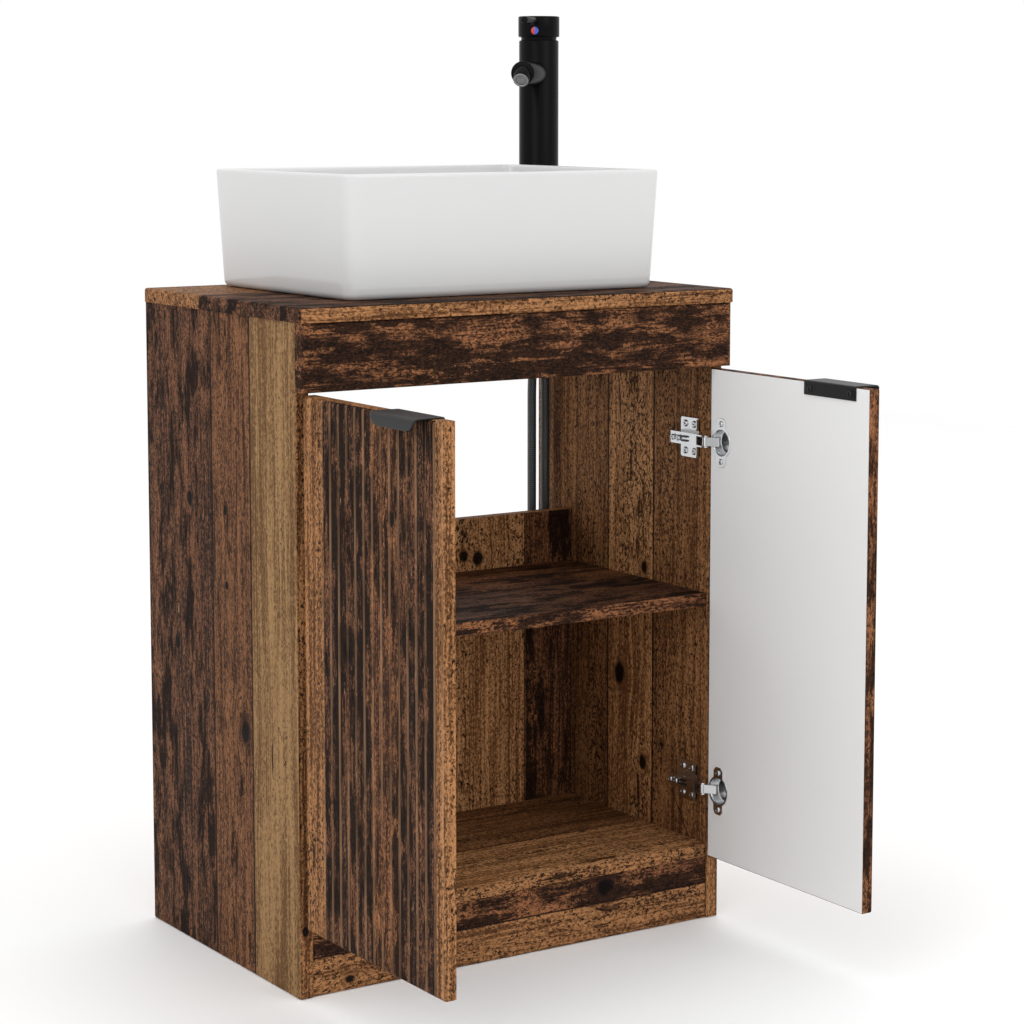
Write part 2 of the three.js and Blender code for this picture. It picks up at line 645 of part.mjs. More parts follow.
function supplyHose(name, sign) {
  const [x, y] = tapAxis;
  const route = hoseRoute.map(([off, z]) => new THREE.Vector3(x + sign * off, y, z));
  const section = new THREE.Shape();
  section.absarc(0, 0, hoseRadius, 0, 2 * Math.PI, false);
  const tube = new THREE.ExtrudeGeometry(section,
    { extrudePath: new THREE.CatmullRomCurve3(route, false, "centripetal"), steps: 24, curveSegments: 5 });
  add(`${name}_hose`, tube, hoseBraid);
  const [top, end] = [route[0], route[route.length - 1]];
  const ferrule = rod([top.x, y, top.z + gap], [top.x, y, top.z + ferruleLength], 5, 12);
  add(`${name}_hose_ferrule`, ferrule, chrome);
  const connector = rod([end.x, y, end.z - hoseNutLength], [end.x, y, end.z - gap], 9.4, 6);
  const socket = rod([end.x, y, end.z - hoseNutLength - 1], [end.x, y, end.z - 8], 6.5, 12);
  add(`${name}_hose_nut`, cut(connector, socket), chrome);
}

carcass();
doors();
basin();
waste();
tapBody();
tapAerator();
tapHead();
tapFixing();
supplyHose("hot", -1);
supplyHose("cold", 1);

export default root;
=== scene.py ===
"""Looks of the bathroom vanity cabinet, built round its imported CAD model.

Everything is in metres in the row frame: +X to the right, +Y to the wall, +Z up.
"""

import json
import math

import bmesh
import bpy
from mathutils import Matrix, Vector


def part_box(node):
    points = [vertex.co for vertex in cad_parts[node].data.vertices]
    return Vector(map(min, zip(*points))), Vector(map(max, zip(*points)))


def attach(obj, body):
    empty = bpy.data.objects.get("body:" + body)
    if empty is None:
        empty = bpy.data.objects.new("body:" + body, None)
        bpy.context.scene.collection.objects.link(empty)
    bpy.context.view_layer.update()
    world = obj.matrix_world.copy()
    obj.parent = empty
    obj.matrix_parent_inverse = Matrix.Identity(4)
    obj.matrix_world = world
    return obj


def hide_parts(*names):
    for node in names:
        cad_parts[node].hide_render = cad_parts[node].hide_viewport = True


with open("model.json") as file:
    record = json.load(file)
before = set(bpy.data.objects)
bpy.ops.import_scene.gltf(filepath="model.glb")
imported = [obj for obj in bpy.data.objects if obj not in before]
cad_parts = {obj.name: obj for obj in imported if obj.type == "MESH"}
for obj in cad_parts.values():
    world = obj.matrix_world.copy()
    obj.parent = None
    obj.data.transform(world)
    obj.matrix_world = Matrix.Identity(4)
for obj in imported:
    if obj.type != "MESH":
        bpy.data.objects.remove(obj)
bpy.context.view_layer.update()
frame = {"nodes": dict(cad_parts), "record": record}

X, Y, Z = 0, 1, 2
UP = (0, 0, 1)
SIDES = (("left", 1), ("right", -1))  # a side's name, and the way from it to the middle
LEVELS = ("lower", "upper")

BOARD_EDGE = 0.0007  # how far a board's edges are eased
TOP_EDGE = 0.003
TOP_CORNER = 0.006
APRON_EDGE = 0.003
DOOR_EDGE = 0.0045
GROOVES = 14
GROOVE_HALF_WIDTH = 0.0022
GROOVE_DEPTH = 0.002
HINGE_STILE = 0.042  # smooth part of the door beside its hinges
FREE_MARGIN = 0.014  # and at its free edge
LINING = 0.0003
HANDLE_BEND = 0.006
HANDLE_SHEET = 0.0016
HANDLE_LIP = 0.012
HANDLE_CORNER = 0.017  # radius of the sheet's corners at the lip
BASIN_WALL = 0.009
BASIN_FLOOR = 0.016
BASIN_RIM_RADIUS = 0.0035
BASIN_FOOT_RADIUS = 0.009
BASIN_BOWL_RADIUS = 0.026
BASIN_CORNER = 0.016  # radius of the four upright corners outside
BOWL_CORNER = 0.012  # and inside
DRAIN_RADIUS = 0.023


# ------------ node graphs
class Value:
    """An output socket that arithmetic can be done with; each sum adds a node to its graph."""

    def __init__(self, graph, socket):
        self.graph = graph
        self.socket = socket

    def __add__(self, other):
        return self.graph.math("ADD", self, other)

    def __sub__(self, other):
        return self.graph.math("SUBTRACT", self, other)

    def __rsub__(self, other):
        return self.graph.math("SUBTRACT", other, self)

    def __mul__(self, other):
        return self.graph.math("MULTIPLY", self, other)

    def __truediv__(self, other):
        return self.graph.math("DIVIDE", self, other)

    def __neg__(self):
        return self * -1.0

    def __abs__(self):
        return self.graph.math("ABSOLUTE", self)

    def sine(self):
        return self.graph.math("SINE", self)

    def centred(self, gain):
        """A value around 0.5 turned into one around 0, times gain."""
        return (self - 0.5) * gain

    def step(self, start, end):
        """0 below start, 1 above end, and smooth between them."""
        node = self.graph.node("MapRange", self, interpolation_type="SMOOTHSTEP")
        self.graph.plug(start, node.inputs[1])
        self.graph.plug(end, node.inputs[2])
        return Value(self.graph, node.outputs[0])


class Graph:
    """A material's node tree, with a method for each kind of node that the finishes use."""

    def __init__(self, name):
        self.material = bpy.data.materials.new(name)
        self.material.use_nodes = True
        self.tree = self.material.node_tree
        self.shader = self.tree.nodes["Principled BSDF"]
        self.place = Value(self, self.node("TexCoord").outputs["Object"])

    def node(self, kind, value=None, **settings):
        """Adds a node, with a value plugged into its first input."""
        node = self.tree.nodes.new("ShaderNode" + kind)
        for key, setting in settings.items():
            setattr(node, key, setting)
        if value is not None:
            self.plug(value, node.inputs[0])
        return node

    def plug(self, value, socket):
        """Links a value to an input, or sets the input to a number, a vector or a colour."""
        if isinstance(value, Value):
            self.tree.links.new(value.socket, socket)
        elif socket.type == "RGBA":
            socket.default_value = (*value, 1)
        else:
            socket.default_value = value

    def surface(self, **inputs):
        """Sets the shader's own inputs: base_color for Base Color, and so on."""
        names = {socket.name.lower().replace(" ", "_"): socket for socket in self.shader.inputs}
        for key, value in inputs.items():
            self.plug(value, names[key])

    def math(self, operation, a, b=0.0, clamp=False):
        node = self.node("Math", a, operation=operation, use_clamp=clamp)
        self.plug(b, node.inputs[1])
        return Value(self, node.outputs[0])

    def vector_math(self, operation, a, b):
        node = self.node("VectorMath", a, operation=operation)
        self.plug(b, node.inputs[1])
        return Value(self, node.outputs["Value" if operation == "DOT_PRODUCT" else "Vector"])

    def mix(self, factor, a, b):
        node = self.node("Mix", factor, data_type="RGBA")
        self.plug(a, node.inputs[6])
        self.plug(b, node.inputs[7])
        return Value(self, node.outputs[2])

    def parts(self, value, kind="SeparateXYZ"):
        return [Value(self, socket) for socket in self.node(kind, value).outputs]

    def noise(self, vector, frequency, detail=2.0, roughness=0.5, distortion=0.0):
        """Noise of about 0.5, with a frequency per metre on each axis."""
        node = self.node("TexNoise", self.vector_math("MULTIPLY", vector, frequency))
        node.inputs["Scale"].default_value = 1.0
        node.inputs["Detail"].default_value = detail
        node.inputs["Roughness"].default_value = roughness
        node.inputs["Distortion"].default_value = distortion
        return Value(self, node.outputs[0])

    def ramp(self, value, stops):
        """The colour and the alpha of the last stop, (position, (r, g, b, a)), below a value."""
        node = self.node("ValToRGB", value)
        ramp = node.color_ramp
        ramp.interpolation = "CONSTANT"
        while len(ramp.elements) < len(stops):
            ramp.elements.new(1.0)
        for element, (position, colour) in zip(ramp.elements, stops):
            element.position = position
            element.color = colour
        return [Value(self, socket) for socket in node.outputs]

    def bump(self, height, distance, strength):
        node = self.node("Bump")
        node.inputs["Strength"].default_value = strength
        node.inputs["Distance"].default_value = distance
        self.plug(height, node.inputs["Height"])
        self.tree.links.new(node.outputs[0], self.shader.inputs["Normal"])


# ------------ printed wood
# A tone's light and dark colours, and how much of it is charred, speckled and flecked.
TONES = {
    "pine": ((0.300, 0.176, 0.078), (0.110, 0.054, 0.022), 0.0, 0.30, 0.0),
    "honey": ((0.66, 0.335, 0.145), (0.150, 0.062, 0.023), 0.22, 0.82, 0.15),
    "tan": ((0.39, 0.185, 0.077), (0.085, 0.035, 0.014), 0.22, 0.80, 0.20),
    "brown": ((0.225, 0.100, 0.046), (0.040, 0.017, 0.009), 0.34, 0.62, 0.25),
    "rust": ((0.32, 0.133, 0.057), (0.030, 0.013, 0.008), 0.60, 0.70, 0.35),
    "umber": ((0.200, 0.086, 0.043), (0.015, 0.008, 0.006), 0.52, 0.66, 0.55),
    "charred": ((0.245, 0.102, 0.049), (0.013, 0.0075, 0.006), 0.70, 0.70, 0.60),
}
# The char colour, also used as painted shade on the rear walls of the door grooves.
CHAR_AND_SHADE = (0.0050, 0.0038, 0.0034)
SPECK = (0.012, 0.006, 0.004)
# The light fleck colour, also used as painted highlight on the front walls of the door grooves.
FLECK_AND_HIGHLIGHT = (0.40, 0.235, 0.135)
SEAM = (0.008, 0.005, 0.004)
# The print's noises: frequency along and across the grain, detail, roughness and distortion.
GRAIN_NOISES = (
    (4, 24, 4, 0.5, 0),  # broad changes of tone
    (5, 105, 4, 0.6, 0),  # bands
    (4, 430, 3, 0.6, 0),  # fine lines
    (240, 420, 3, 0.7, 0),  # mottle
    (15, 50, 12, 0.74, 0.2),  # ragged edges of the char
    (210, 330, 3, 0.7, 0.6),  # grit
    (70, 520, 3, 0.65, 0),  # scratches
)
PLANK_SHIFT = 23.0  # metres along the grain between one plank's pattern and the next
BOARD_SHIFT = 3.7  # and between one board's and the next


def stretch(along, lengthwise, crosswise):
    """Noise frequencies per metre, lower along the grain."""
    factors = [crosswise] * 3
    factors[along] = lengthwise
    return factors


def knot_distance(g, u, v, knot_u, knot_v, radius):
    """Distance from a knot's centre in radii; a knot is longer along the grain."""
    du = (u - knot_u) * (1 / (radius * 1.35))
    dv = (v - knot_v) * (1 / radius)
    return g.math("SQRT", du * du + dv * dv)


def wood(name, along, across, extent, planks, seed, knots=(), cracks=(), seam=0.0012, grooved=False):
    """Printed old wood whose grain runs along one axis.

    extent is the lowest and highest coordinate across the grain; planks are (share of that extent
    where the plank ends, tone); knots are (along, across, radius) and cracks (along, across,
    length, slope, width), in metres. On a grooved face the groove walls that face the front get
    a painted highlight and those that face the back get painted shade.
    """
    g = Graph(name)
    low, high = extent
    axes = g.parts(g.place)
    u = axes[along]
    v = axes[across]

    wobble = g.noise(g.place, stretch(along, 9, 55), detail=4)
    waved = v + wobble.centred(0.010)
    for knot_u, knot_v, radius in knots:
        near = knot_distance(g, u, v, knot_u, knot_v, radius * 2.2)
        pull = g.math("POWER", math.e, -(near * near))
        waved = waved - (v - knot_v) * pull * 0.6

    share = (v + wobble.centred(0.002) - low) * (1 / (high - low))
    tones = [TONES[tone] for _, tone in planks]
    starts = [0.0] + [end for end, _ in planks[:-1]]
    light, charring = g.ramp(share, [(s, (*t[0], t[2])) for s, t in zip(starts, tones)])
    dark, speckling = g.ramp(share, [(s, (*t[1], t[3])) for s, t in zip(starts, tones)])
    stops = [(s, (i / 8, t[4], 0, 1)) for i, (s, t) in enumerate(zip(starts, tones))]
    plank, flecking, _ = g.parts(g.ramp(share, stops)[0], "SeparateColor")
    axes[across] = waved
    axes[along] = u + (plank * PLANK_SHIFT + BOARD_SHIFT * seed)
    joined = g.node("CombineXYZ")
    for value, socket in zip(axes, joined.inputs):
        g.plug(value, socket)
    grain = Value(g, joined.outputs[0])
    broad, band, lines, mottle, ragged, grit, scratch = [
        g.noise(grain, stretch(along, lengthwise, crosswise), *shape)
        for lengthwise, crosswise, *shape in GRAIN_NOISES]

    blend = broad.centred(1.6) + band.centred(2.4) + (lines.centred(2.6) + mottle.centred(3.8))
    colour = g.mix(g.math("ADD", blend, 0.5, clamp=True), dark, light)

    burnt = ragged + broad.centred(0.45) + (lines.centred(0.40) + band.centred(0.45)) + mottle.centred(0.35)
    edge = 0.70 - charring * 0.32
    char = burnt.step(edge, edge + 0.035) * charring.step(0.0, 0.05)
    sooty = g.mix(mottle.step(0.42, 0.66), CHAR_AND_SHADE, dark)
    colour = g.mix(char * 0.95, colour, sooty)

    edge = 0.70 - speckling * 0.18
    speck = (grit + broad.centred(0.30)).step(edge, edge + 0.035)
    colour = g.mix(speck * 0.90, colour, SPECK)

    edge = 0.76 - flecking * 0.16
    fleck = (scratch + ragged.centred(-0.35)).step(edge, edge + 0.06)
    colour = g.mix(fleck * 0.7, colour, FLECK_AND_HIGHLIGHT)

    marks = 0.0
    frayed = ragged.centred(2.2) + wobble.centred(0.8)
    for knot_u, knot_v, radius in knots:
        d = knot_distance(g, u, v, knot_u, knot_v, radius) + frayed
        rings = (d * 9.0).sine()
        halo = (1.0 - d.step(0.9, 2.0)) * (rings * 0.20 + 0.55)
        core = 1.0 - d.step(0.70, 1.05)
        colour = g.mix(core * 0.96, g.mix(halo, colour, dark), CHAR_AND_SHADE)
        marks = g.math("MAXIMUM", marks, core)
    for crack_u, crack_v, length, slope, width in cracks:
        run = u - crack_u
        off = v + wobble.centred(0.012) - crack_v - run * slope
        ends = 1.0 - abs(run).step(0.0, length * 0.5)
        half = g.math("MAXIMUM", ends, 0.001) * width
        crack = 1.0 - (abs(off) / half).step(0.4, 1.0)
        colour = g.mix(crack * 0.95, colour, CHAR_AND_SHADE)
        marks = g.math("MAXIMUM", marks, crack)
    for end in starts[1:]:
        off = abs((share - end) * (high - low))
        joint = 1.0 - off.step(seam * 0.4, seam)
        colour = g.mix(joint * 0.9, colour, SEAM)
        marks = g.math("MAXIMUM", marks, joint)

    if grooved:
        slant = g.parts(Value(g, g.node("TexCoord").outputs["Normal"]))[Y]
        # Painted highlight: groove walls facing the front are mixed towards the light fleck colour, patchy
        # along the bands.
        sheen_patches = (-slant).step(0.25, 0.6) * g.math("ADD", band.centred(3.0), 0.55, clamp=True)
        colour = g.mix(sheen_patches * 0.55, colour, FLECK_AND_HIGHLIGHT)
        # Painted shade: groove walls facing the back are mixed towards the char colour.
        colour = g.mix(slant.step(0.25, 0.6) * 0.6, colour, CHAR_AND_SHADE)

    g.bump(lines * 0.5 - (char * 0.35 + speck * 0.3) - marks * 0.8, 0.0005, 0.5)
    g.surface(base_color=colour, roughness=(lines + char) * 0.12 + 0.50, specular_ior_level=0.04)
    return g.material


# ------------ other finishes
def even(frequency):
    """The same noise frequency on all three axes."""
    return (frequency,) * 3


def finish(name, colour, roughness, metallic=0.0, grain=even(400), variation=0.06,
           bump=0.00002, **inputs):
    """A plain finish with small changes of tone and roughness and a fine surface texture."""
    g = Graph(name)
    small = g.noise(g.place, grain, detail=4, roughness=0.6)
    large = g.noise(g.place, even(9), detail=3)
    dull = tuple(c * (1 - variation) for c in colour)
    g.bump(small, bump, 0.5)
    g.surface(base_color=g.mix(small * 0.5 + large * 0.5, dull, colour), metallic=metallic,
        roughness=(small + large) * 0.04 + (roughness - 0.04), **inputs)
    return g.material


def braid(name):
    """Woven steel wires round a dark hose, from the tube's own UV map."""
    g = Graph(name)
    around, lengthwise, _ = g.parts(Value(g, g.node("UVMap", uv_map="UVMap").outputs[0]))
    turns = [around * 14.0 + lengthwise * (190.0 * way) for way in (1, -1)]
    waves = [(turn * math.tau).sine() for turn in turns]
    wires = g.math("MAXIMUM", *waves).step(-0.2, 0.9)
    sheen_patches = g.noise(g.place, even(60), detail=3)
    g.bump(wires, 0.0003, 0.8)
    g.surface(base_color=g.mix(wires, (0.02, 0.021, 0.022), (0.13, 0.135, 0.14)),
        metallic=0.7, roughness=sheen_patches * 0.2 + 0.34)
    return g.material


def two_colours(name, centre, sideways, left, right):
    """A dot in two colours that meet on the vertical plane through its centre."""
    g = Graph(name)
    offset = g.vector_math("SUBTRACT", g.place, centre)
    side = g.vector_math("DOT_PRODUCT", offset, sideways).step(-0.0001, 0.0001)
    speckle = g.noise(g.place, even(900), detail=2)
    g.bump(speckle, 0.00001, 0.4)
    g.surface(base_color=g.mix(speckle * 0.25, g.mix(side, left, right), (0.01, 0.01, 0.012)), roughness=0.25)
    return g.material


def mesh_screen(name, directions):
    """A fine grey wire mesh with wires across both directions, and painted shade in the gaps between the
    wires.
    """
    g = Graph(name)
    waves = [(g.vector_math("DOT_PRODUCT", g.place, way) * (math.tau * 1100)).sine() for way in directions]
    # Between the wires the colour is near black: painted shade of the openings.
    wire = g.math("MAXIMUM", *waves).step(0.1, 0.8)
    g.bump(wire, 0.0002, 0.8)
    g.surface(base_color=g.mix(wire, (0.03, 0.03, 0.03), (0.34, 0.34, 0.33)), metallic=0.5, roughness=0.35)
    return g.material


ceramic = finish("white_glaze", (0.625, 0.625, 0.623), 0.12, grain=even(30), variation=0.015,
    bump=0.00003, coat_weight=0.25, coat_roughness=0.05, specular_ior_level=0.4)
lining_white = finish("white_melamine", (0.84, 0.84, 0.84), 0.42, grain=even(700), variation=0.02,
    bump=0.00003, specular_ior_level=0.3)
tap_black = finish("matte_black", (0.0025, 0.0025, 0.0026), 0.32, grain=even(900), variation=0.2,
    bump=0.000015, specular_ior_level=0.07)
handle_black = finish("black_powder_coat", (0.012, 0.012, 0.0125), 0.42, grain=even(1400),
    variation=0.25, bump=0.00003, specular_ior_level=0.25)
# Black oxide for the handle screws; the same dark also stands as painted shade in the recesses of the bright
# screws and in the hinge arms' slots.
screw_black = finish("black_oxide", (0.018, 0.018, 0.018), 0.38, metallic=0.3, variation=0.3)
nickel = finish("nickel_plate", (0.66, 0.67, 0.68), 0.24, metallic=1.0, grain=(90, 900, 90),
    variation=0.12, bump=0.00001)
chrome = finish("chrome_plate", (0.80, 0.81, 0.82), 0.08, metallic=1.0, grain=even(250),
    variation=0.05, bump=0.000004)
brass = finish("machined_brass", (0.60, 0.42, 0.17), 0.30, metallic=1.0, grain=(200, 200, 1500),
    variation=0.18)
dull_steel = finish("dull_steel", (0.30, 0.30, 0.305), 0.34, metallic=1.0, grain=even(300),
    variation=0.15)
rubber = finish("black_rubber", (0.030, 0.030, 0.030), 0.75, variation=0.3)
plastic = finish("cartridge_plastic", (0.06, 0.06, 0.062), 0.45, variation=0.2)
hose_braid = braid("steel_braid")


# ------------ mesh helpers
def crease(obj, angle):
    """Shades an object smooth, apart from edges sharper than angle in degrees."""
    obj.data.shade_smooth()
    obj.data.set_sharp_from_angle(angle=math.radians(angle))


def to_object(name, bm, *materials, angle=35):
    """Closes a bmesh into an object with smooth faces and creases sharper than angle kept."""
    bmesh.ops.remove_doubles(bm, verts=bm.verts, dist=1e-7)
    bmesh.ops.recalc_face_normals(bm, faces=bm.faces)
    mesh = bpy.data.meshes.new(name)
    bm.to_mesh(mesh)
    bm.free()
    obj = bpy.data.objects.new(name, mesh)
    crease(obj, angle)
    bpy.context.scene.collection.objects.link(obj)
    for material in materials:
        mesh.materials.append(material)
    return obj


def dress(obj, body, slot, *nodes):
    """Lets a piece ride on a body and hides the CAD nodes that it stands for; the slot is not used."""
    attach(obj, body)
    if nodes:
        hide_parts(*nodes)


def weighted_normals(obj):
    """Keeps large flat faces flat in the shading, so only the eased edges catch the light."""
    modifier = obj.modifiers.new("normals", "WEIGHTED_NORMAL")
    modifier.keep_sharp = True
    modifier.weight = 100


def bake(obj):
    """Applies the modifiers to the mesh."""
    evaluated = obj.evaluated_get(bpy.context.evaluated_depsgraph_get())
    mesh = bpy.data.meshes.new_from_object(evaluated)
    obj.modifiers.clear()
    obj.data = mesh


def carve(obj, cutter, operation="DIFFERENCE"):
    modifier = obj.modifiers.new("carve", "BOOLEAN")
    modifier.operation = operation
    modifier.solver = "EXACT"
    modifier.object = cutter
    bake(obj)
    bpy.data.objects.remove(cutter)


def cube(bm, corner, opposite):
    """Adds the box between two opposite corners to a bmesh."""
    for vertex in bmesh.ops.create_cube(bm, size=1)["verts"]:
        ends = [sorted(pair) for pair in zip(corner, opposite)]
        vertex.co = Vector([pair[vertex.co[axis] > 0] for axis, pair in enumerate(ends)])


def round_edges(bm, radius, segments, chosen=lambda edge: True):
    edges = [edge for edge in bm.edges if chosen(edge)]
    bmesh.ops.bevel(bm, geom=edges, offset=radius, segments=segments, profile=0.5, affect="EDGES",
        clamp_overlap=True)


def direction_of(edge):
    return (edge.verts[1].co - edge.verts[0].co).normalized()


def loft(bm, rings, looped=False):
    """Joins rings with the same number of points by quads, and closes the ends or joins them."""
    rows = [[bm.verts.new(point) for point in ring] for ring in rings]
    pairs = list(zip(rows, rows[1:]))
    if looped:
        pairs.append((rows[-1], rows[0]))
    else:
        bm.faces.new(list(reversed(rows[0])))
        bm.faces.new(rows[-1])
    for lower, upper in pairs:
        for i, vertex in enumerate(lower):
            j = (i + 1) % len(lower)
            bm.faces.new((vertex, lower[j], upper[j], upper[i]))


def circle(radius, height, segments):
    turns = [math.tau * i / segments for i in range(segments)]
    return [Vector((radius * math.cos(t), radius * math.sin(t), height)) for t in turns]


def quarter_turns(steps):
    """Angles from 0 to a right angle."""
    return [math.pi / 2 * i / steps for i in range(steps + 1)]


def upright(origin, direction):
    """A matrix that takes +Z to direction and the origin to a point."""
    return Matrix.Translation(origin) @ Vector(direction).to_track_quat("Z", "Y").to_matrix().to_4x4()


def turned(name, profile, origin, direction, *materials, segments=64, looped=False, angle=35):
    """Turns a profile of (radius, height) about the line through origin in that direction."""
    bm = bmesh.new()
    loft(bm, [circle(max(radius, 1e-6), height, segments) for radius, height in profile], looped)
    bm.transform(upright(origin, direction))
    return to_object(name, bm, *materials, angle=angle)


def prism(bm, outline, normal_axis, start, end):
    """Extrudes an outline, given on the two other axes in order, along one axis."""
    others = [axis for axis in (X, Y, Z) if axis != normal_axis]
    rings = []
    for level in (start, end):
        ring = []
        for a, b in outline:
            point = Vector((0, 0, 0))
            point[normal_axis] = level
            point[others[0]] = a
            point[others[1]] = b
            ring.append(point)
        rings.append(ring)
    loft(bm, rings)


def rounded_outline(x0, y0, x1, y1, radius, steps=5):
    points = []
    centres = ((x1 - radius, y1 - radius), (x0 + radius, y1 - radius),
        (x0 + radius, y0 + radius), (x1 - radius, y0 + radius))
    for quarter, (cx, cy) in enumerate(centres):
        for i in range(steps + 1):
            turn = math.pi / 2 * (quarter + i / steps)
            points.append((cx + radius * math.cos(turn), cy + radius * math.sin(turn)))
    return points


def fillet(radius, distance):
    """How far a quarter-round edge has pulled in at a distance from its start."""
    if distance >= radius:
        return 0.0
    return radius - math.sqrt(radius ** 2 - (radius - distance) ** 2)


def centre_of(node):
    low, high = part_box(node)
    return (low + high) / 2


def span(node, axis):
    lo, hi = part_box(node)
    return lo[axis], hi[axis]


def slot_of(node):
    return next(part["material_slot"] for part in frame["record"]["subparts"] if part["node"] == node)


def body_of(node):
    return next(name for name, members in frame["record"]["behaviour"]["bodies"].items() if node in members)


# ------------ camera and light
CAMERA_PLACE = (-1.6405, -2.5130, 0.9638)
CAMERA_YAW = 0.5775  # radians to the right of straight at the wall
CAMERA_PITCH = 0.1129  # radians downwards
CAMERA_LENS = 95.33
CAMERA_SHIFT = -0.1
FLOOR_DROP = 0.0008  # keeps the floor just clear of the feet

camera_data = bpy.data.cameras.new("camera")
camera_data.sensor_width = 36
camera_data.lens = CAMERA_LENS
camera_data.shift_y = CAMERA_SHIFT
camera = bpy.data.objects.new("camera", camera_data)
camera.location = CAMERA_PLACE
camera.rotation_euler = (math.pi / 2 - CAMERA_PITCH, 0, -CAMERA_YAW)
bpy.context.scene.collection.objects.link(camera)
bpy.context.scene.camera = camera

world = bpy.data.worlds.new("white_room")
world.use_nodes = True
background = world.node_tree.nodes["Background"]
background.inputs["Color"].default_value = (1, 1, 1, 1)
background.inputs["Strength"].default_value = 1.0
bpy.context.scene.world = world
bpy.context.scene.view_settings.view_transform = "Standard"


def soft_light(name, place, target, size, power):
    light = bpy.data.lights.new(name, "AREA")
    light.shape = "SQUARE"
    light.size = size
    light.energy = power
    lamp = bpy.data.objects.new(name, light)
    lamp.location = place
    lamp.rotation_euler = (Vector(target) - Vector(place)).to_track_quat("-Z", "Y").to_euler()
    bpy.context.scene.collection.objects.link(lamp)


soft_light("key", (0.9, -3.0, 2.4), (0, 0, 0.5), 2.0, 22)
soft_light("fill", (-2.6, -1.6, 1.8), (0, 0, 0.5), 1.6, 16)
soft_light("overhead", (0, 0.6, 4.0), (0, 0.6, 0), 4.0, 26)

bm = bmesh.new()
bmesh.ops.create_grid(bm, x_segments=1, y_segments=1, size=4)
pale_floor = finish("pale_floor", (0.96, 0.96, 0.96), 0.6, grain=even(3), variation=0.005)
floor = to_object("floor", bm, pale_floor)
floor.location.z = -FLOOR_DROP


# ------------ supply hoses
HOSE_RADIUS = 0.0055
# Way outwards from the tap's middle, and height: straight down from the ferrule, a little
# outwards, then hanging.
HOSE_ROUTE = ((0.0065, 0.690), (0.0065, 0.670), (0.010, 0.600), (0.010, 0.212))
HOSE_STEPS = 32
COLLAR_RADIUS = 0.0052
CONNECTOR_RADIUS = 0.0092
CONNECTOR_BORE = 0.0065
CRIMP_RADIUS = 0.0068
tap_x, tap_y, _ = centre_of("tap_shank")


def hose_path(sign):
    """Points at even heights down the route, which curves smoothly from point to point."""
    top = HOSE_ROUTE[0][1]
    bottom = HOSE_ROUTE[-1][1]
    points = []
    for i in range(HOSE_STEPS + 1):
        z = top + (bottom - top) * i / HOSE_STEPS
        for (near, upper), (far, lower) in zip(HOSE_ROUTE, HOSE_ROUTE[1:]):
            if lower <= z + 1e-9:
                t = max((upper - z) / (upper - lower), 0)
                points.append(Vector((tap_x + sign * (near + (far - near) * t * t * (3 - 2 * t)), tap_y, z)))
                break
    return points


def tube(name, path, radius, material, segments=24):
    """A round tube along points, with a UV map that runs round it and along it in metres."""
    bm = bmesh.new()
    loft(bm, [[centre + point for point in circle(radius, 0, segments)] for centre in path])
    layer = bm.loops.layers.uv.new("UVMap")
    for face in bm.faces:
        middle = face.calc_center_median()
        axis = min(path, key=lambda point: abs(point.z - middle.z))
        base = math.atan2(middle.y - axis.y, middle.x - axis.x) / math.tau
        for loop in face.loops:
            turn = math.atan2(loop.vert.co.y - axis.y, loop.vert.co.x - axis.x) / math.tau
            loop[layer].uv = (base + (turn - base + 0.5) % 1 - 0.5, loop.vert.co.z)
    return to_object(name, bm, material)


def hose_collar(label):
    """The crimped collar on a hose's upper end."""
    node = f"{label}_hose_ferrule"
    centre = centre_of(node)
    low, high = span(node, Z)
    r = COLLAR_RADIUS
    collar = turned(f"{label}_hose_collar", [
        (r - 0.0012, low), (r + 0.0009, low), (r + 0.0012, low + 0.001), (r + 0.0012, low + 0.014),
        (r + 0.0004, low + 0.0155), (r - 0.0008, low + 0.016), (r - 0.0008, high), (0, high)],
        (centre.x, centre.y, 0), UP, chrome, segments=32)
    dress(collar, "cabinet", "chrome_fitting", node)
    return collar


def hose_connector(label):
    """The hexagon union nut at a hose's lower end, hollow below and crimped above."""
    node = f"{label}_hose_nut"
    centre = centre_of(node)
    low, high = span(node, Z)
    axis = (centre.x, centre.y, 0)
    bm = bmesh.new()
    hexagon = [(centre.x + point.x, centre.y + point.y) for point in circle(CONNECTOR_RADIUS, 0, 6)]
    prism(bm, hexagon, Z, low, high - 0.004)
    round_edges(bm, 0.0006, 2)
    connector = to_object(f"{label}_hose_connector", bm, chrome)
    bore = turned("bore", [(0, low - 0.001), (CONNECTOR_BORE, low - 0.001), (CONNECTOR_BORE, low + 0.014),
        (0, low + 0.014)], axis, UP, segments=32)
    carve(connector, bore)
    crimp = turned("crimp", [(0, high - 0.006), (CRIMP_RADIUS, high - 0.006), (CRIMP_RADIUS, high - 0.001),
        (CRIMP_RADIUS - 0.0008, high), (0, high)], axis, UP, segments=32)
    carve(connector, crimp, "UNION")
    dress(connector, "cabinet", "chrome_fitting", node)
    return connector


for label, sign in (("hot", -1), ("cold", 1)):
    path = hose_path(sign)
    hose = tube(f"{label}_supply_hose", path, HOSE_RADIUS, hose_braid)
    dress(hose, "cabinet", "hose_braid", f"{label}_hose")
    hose_collar(label)
    hose_connector(label)


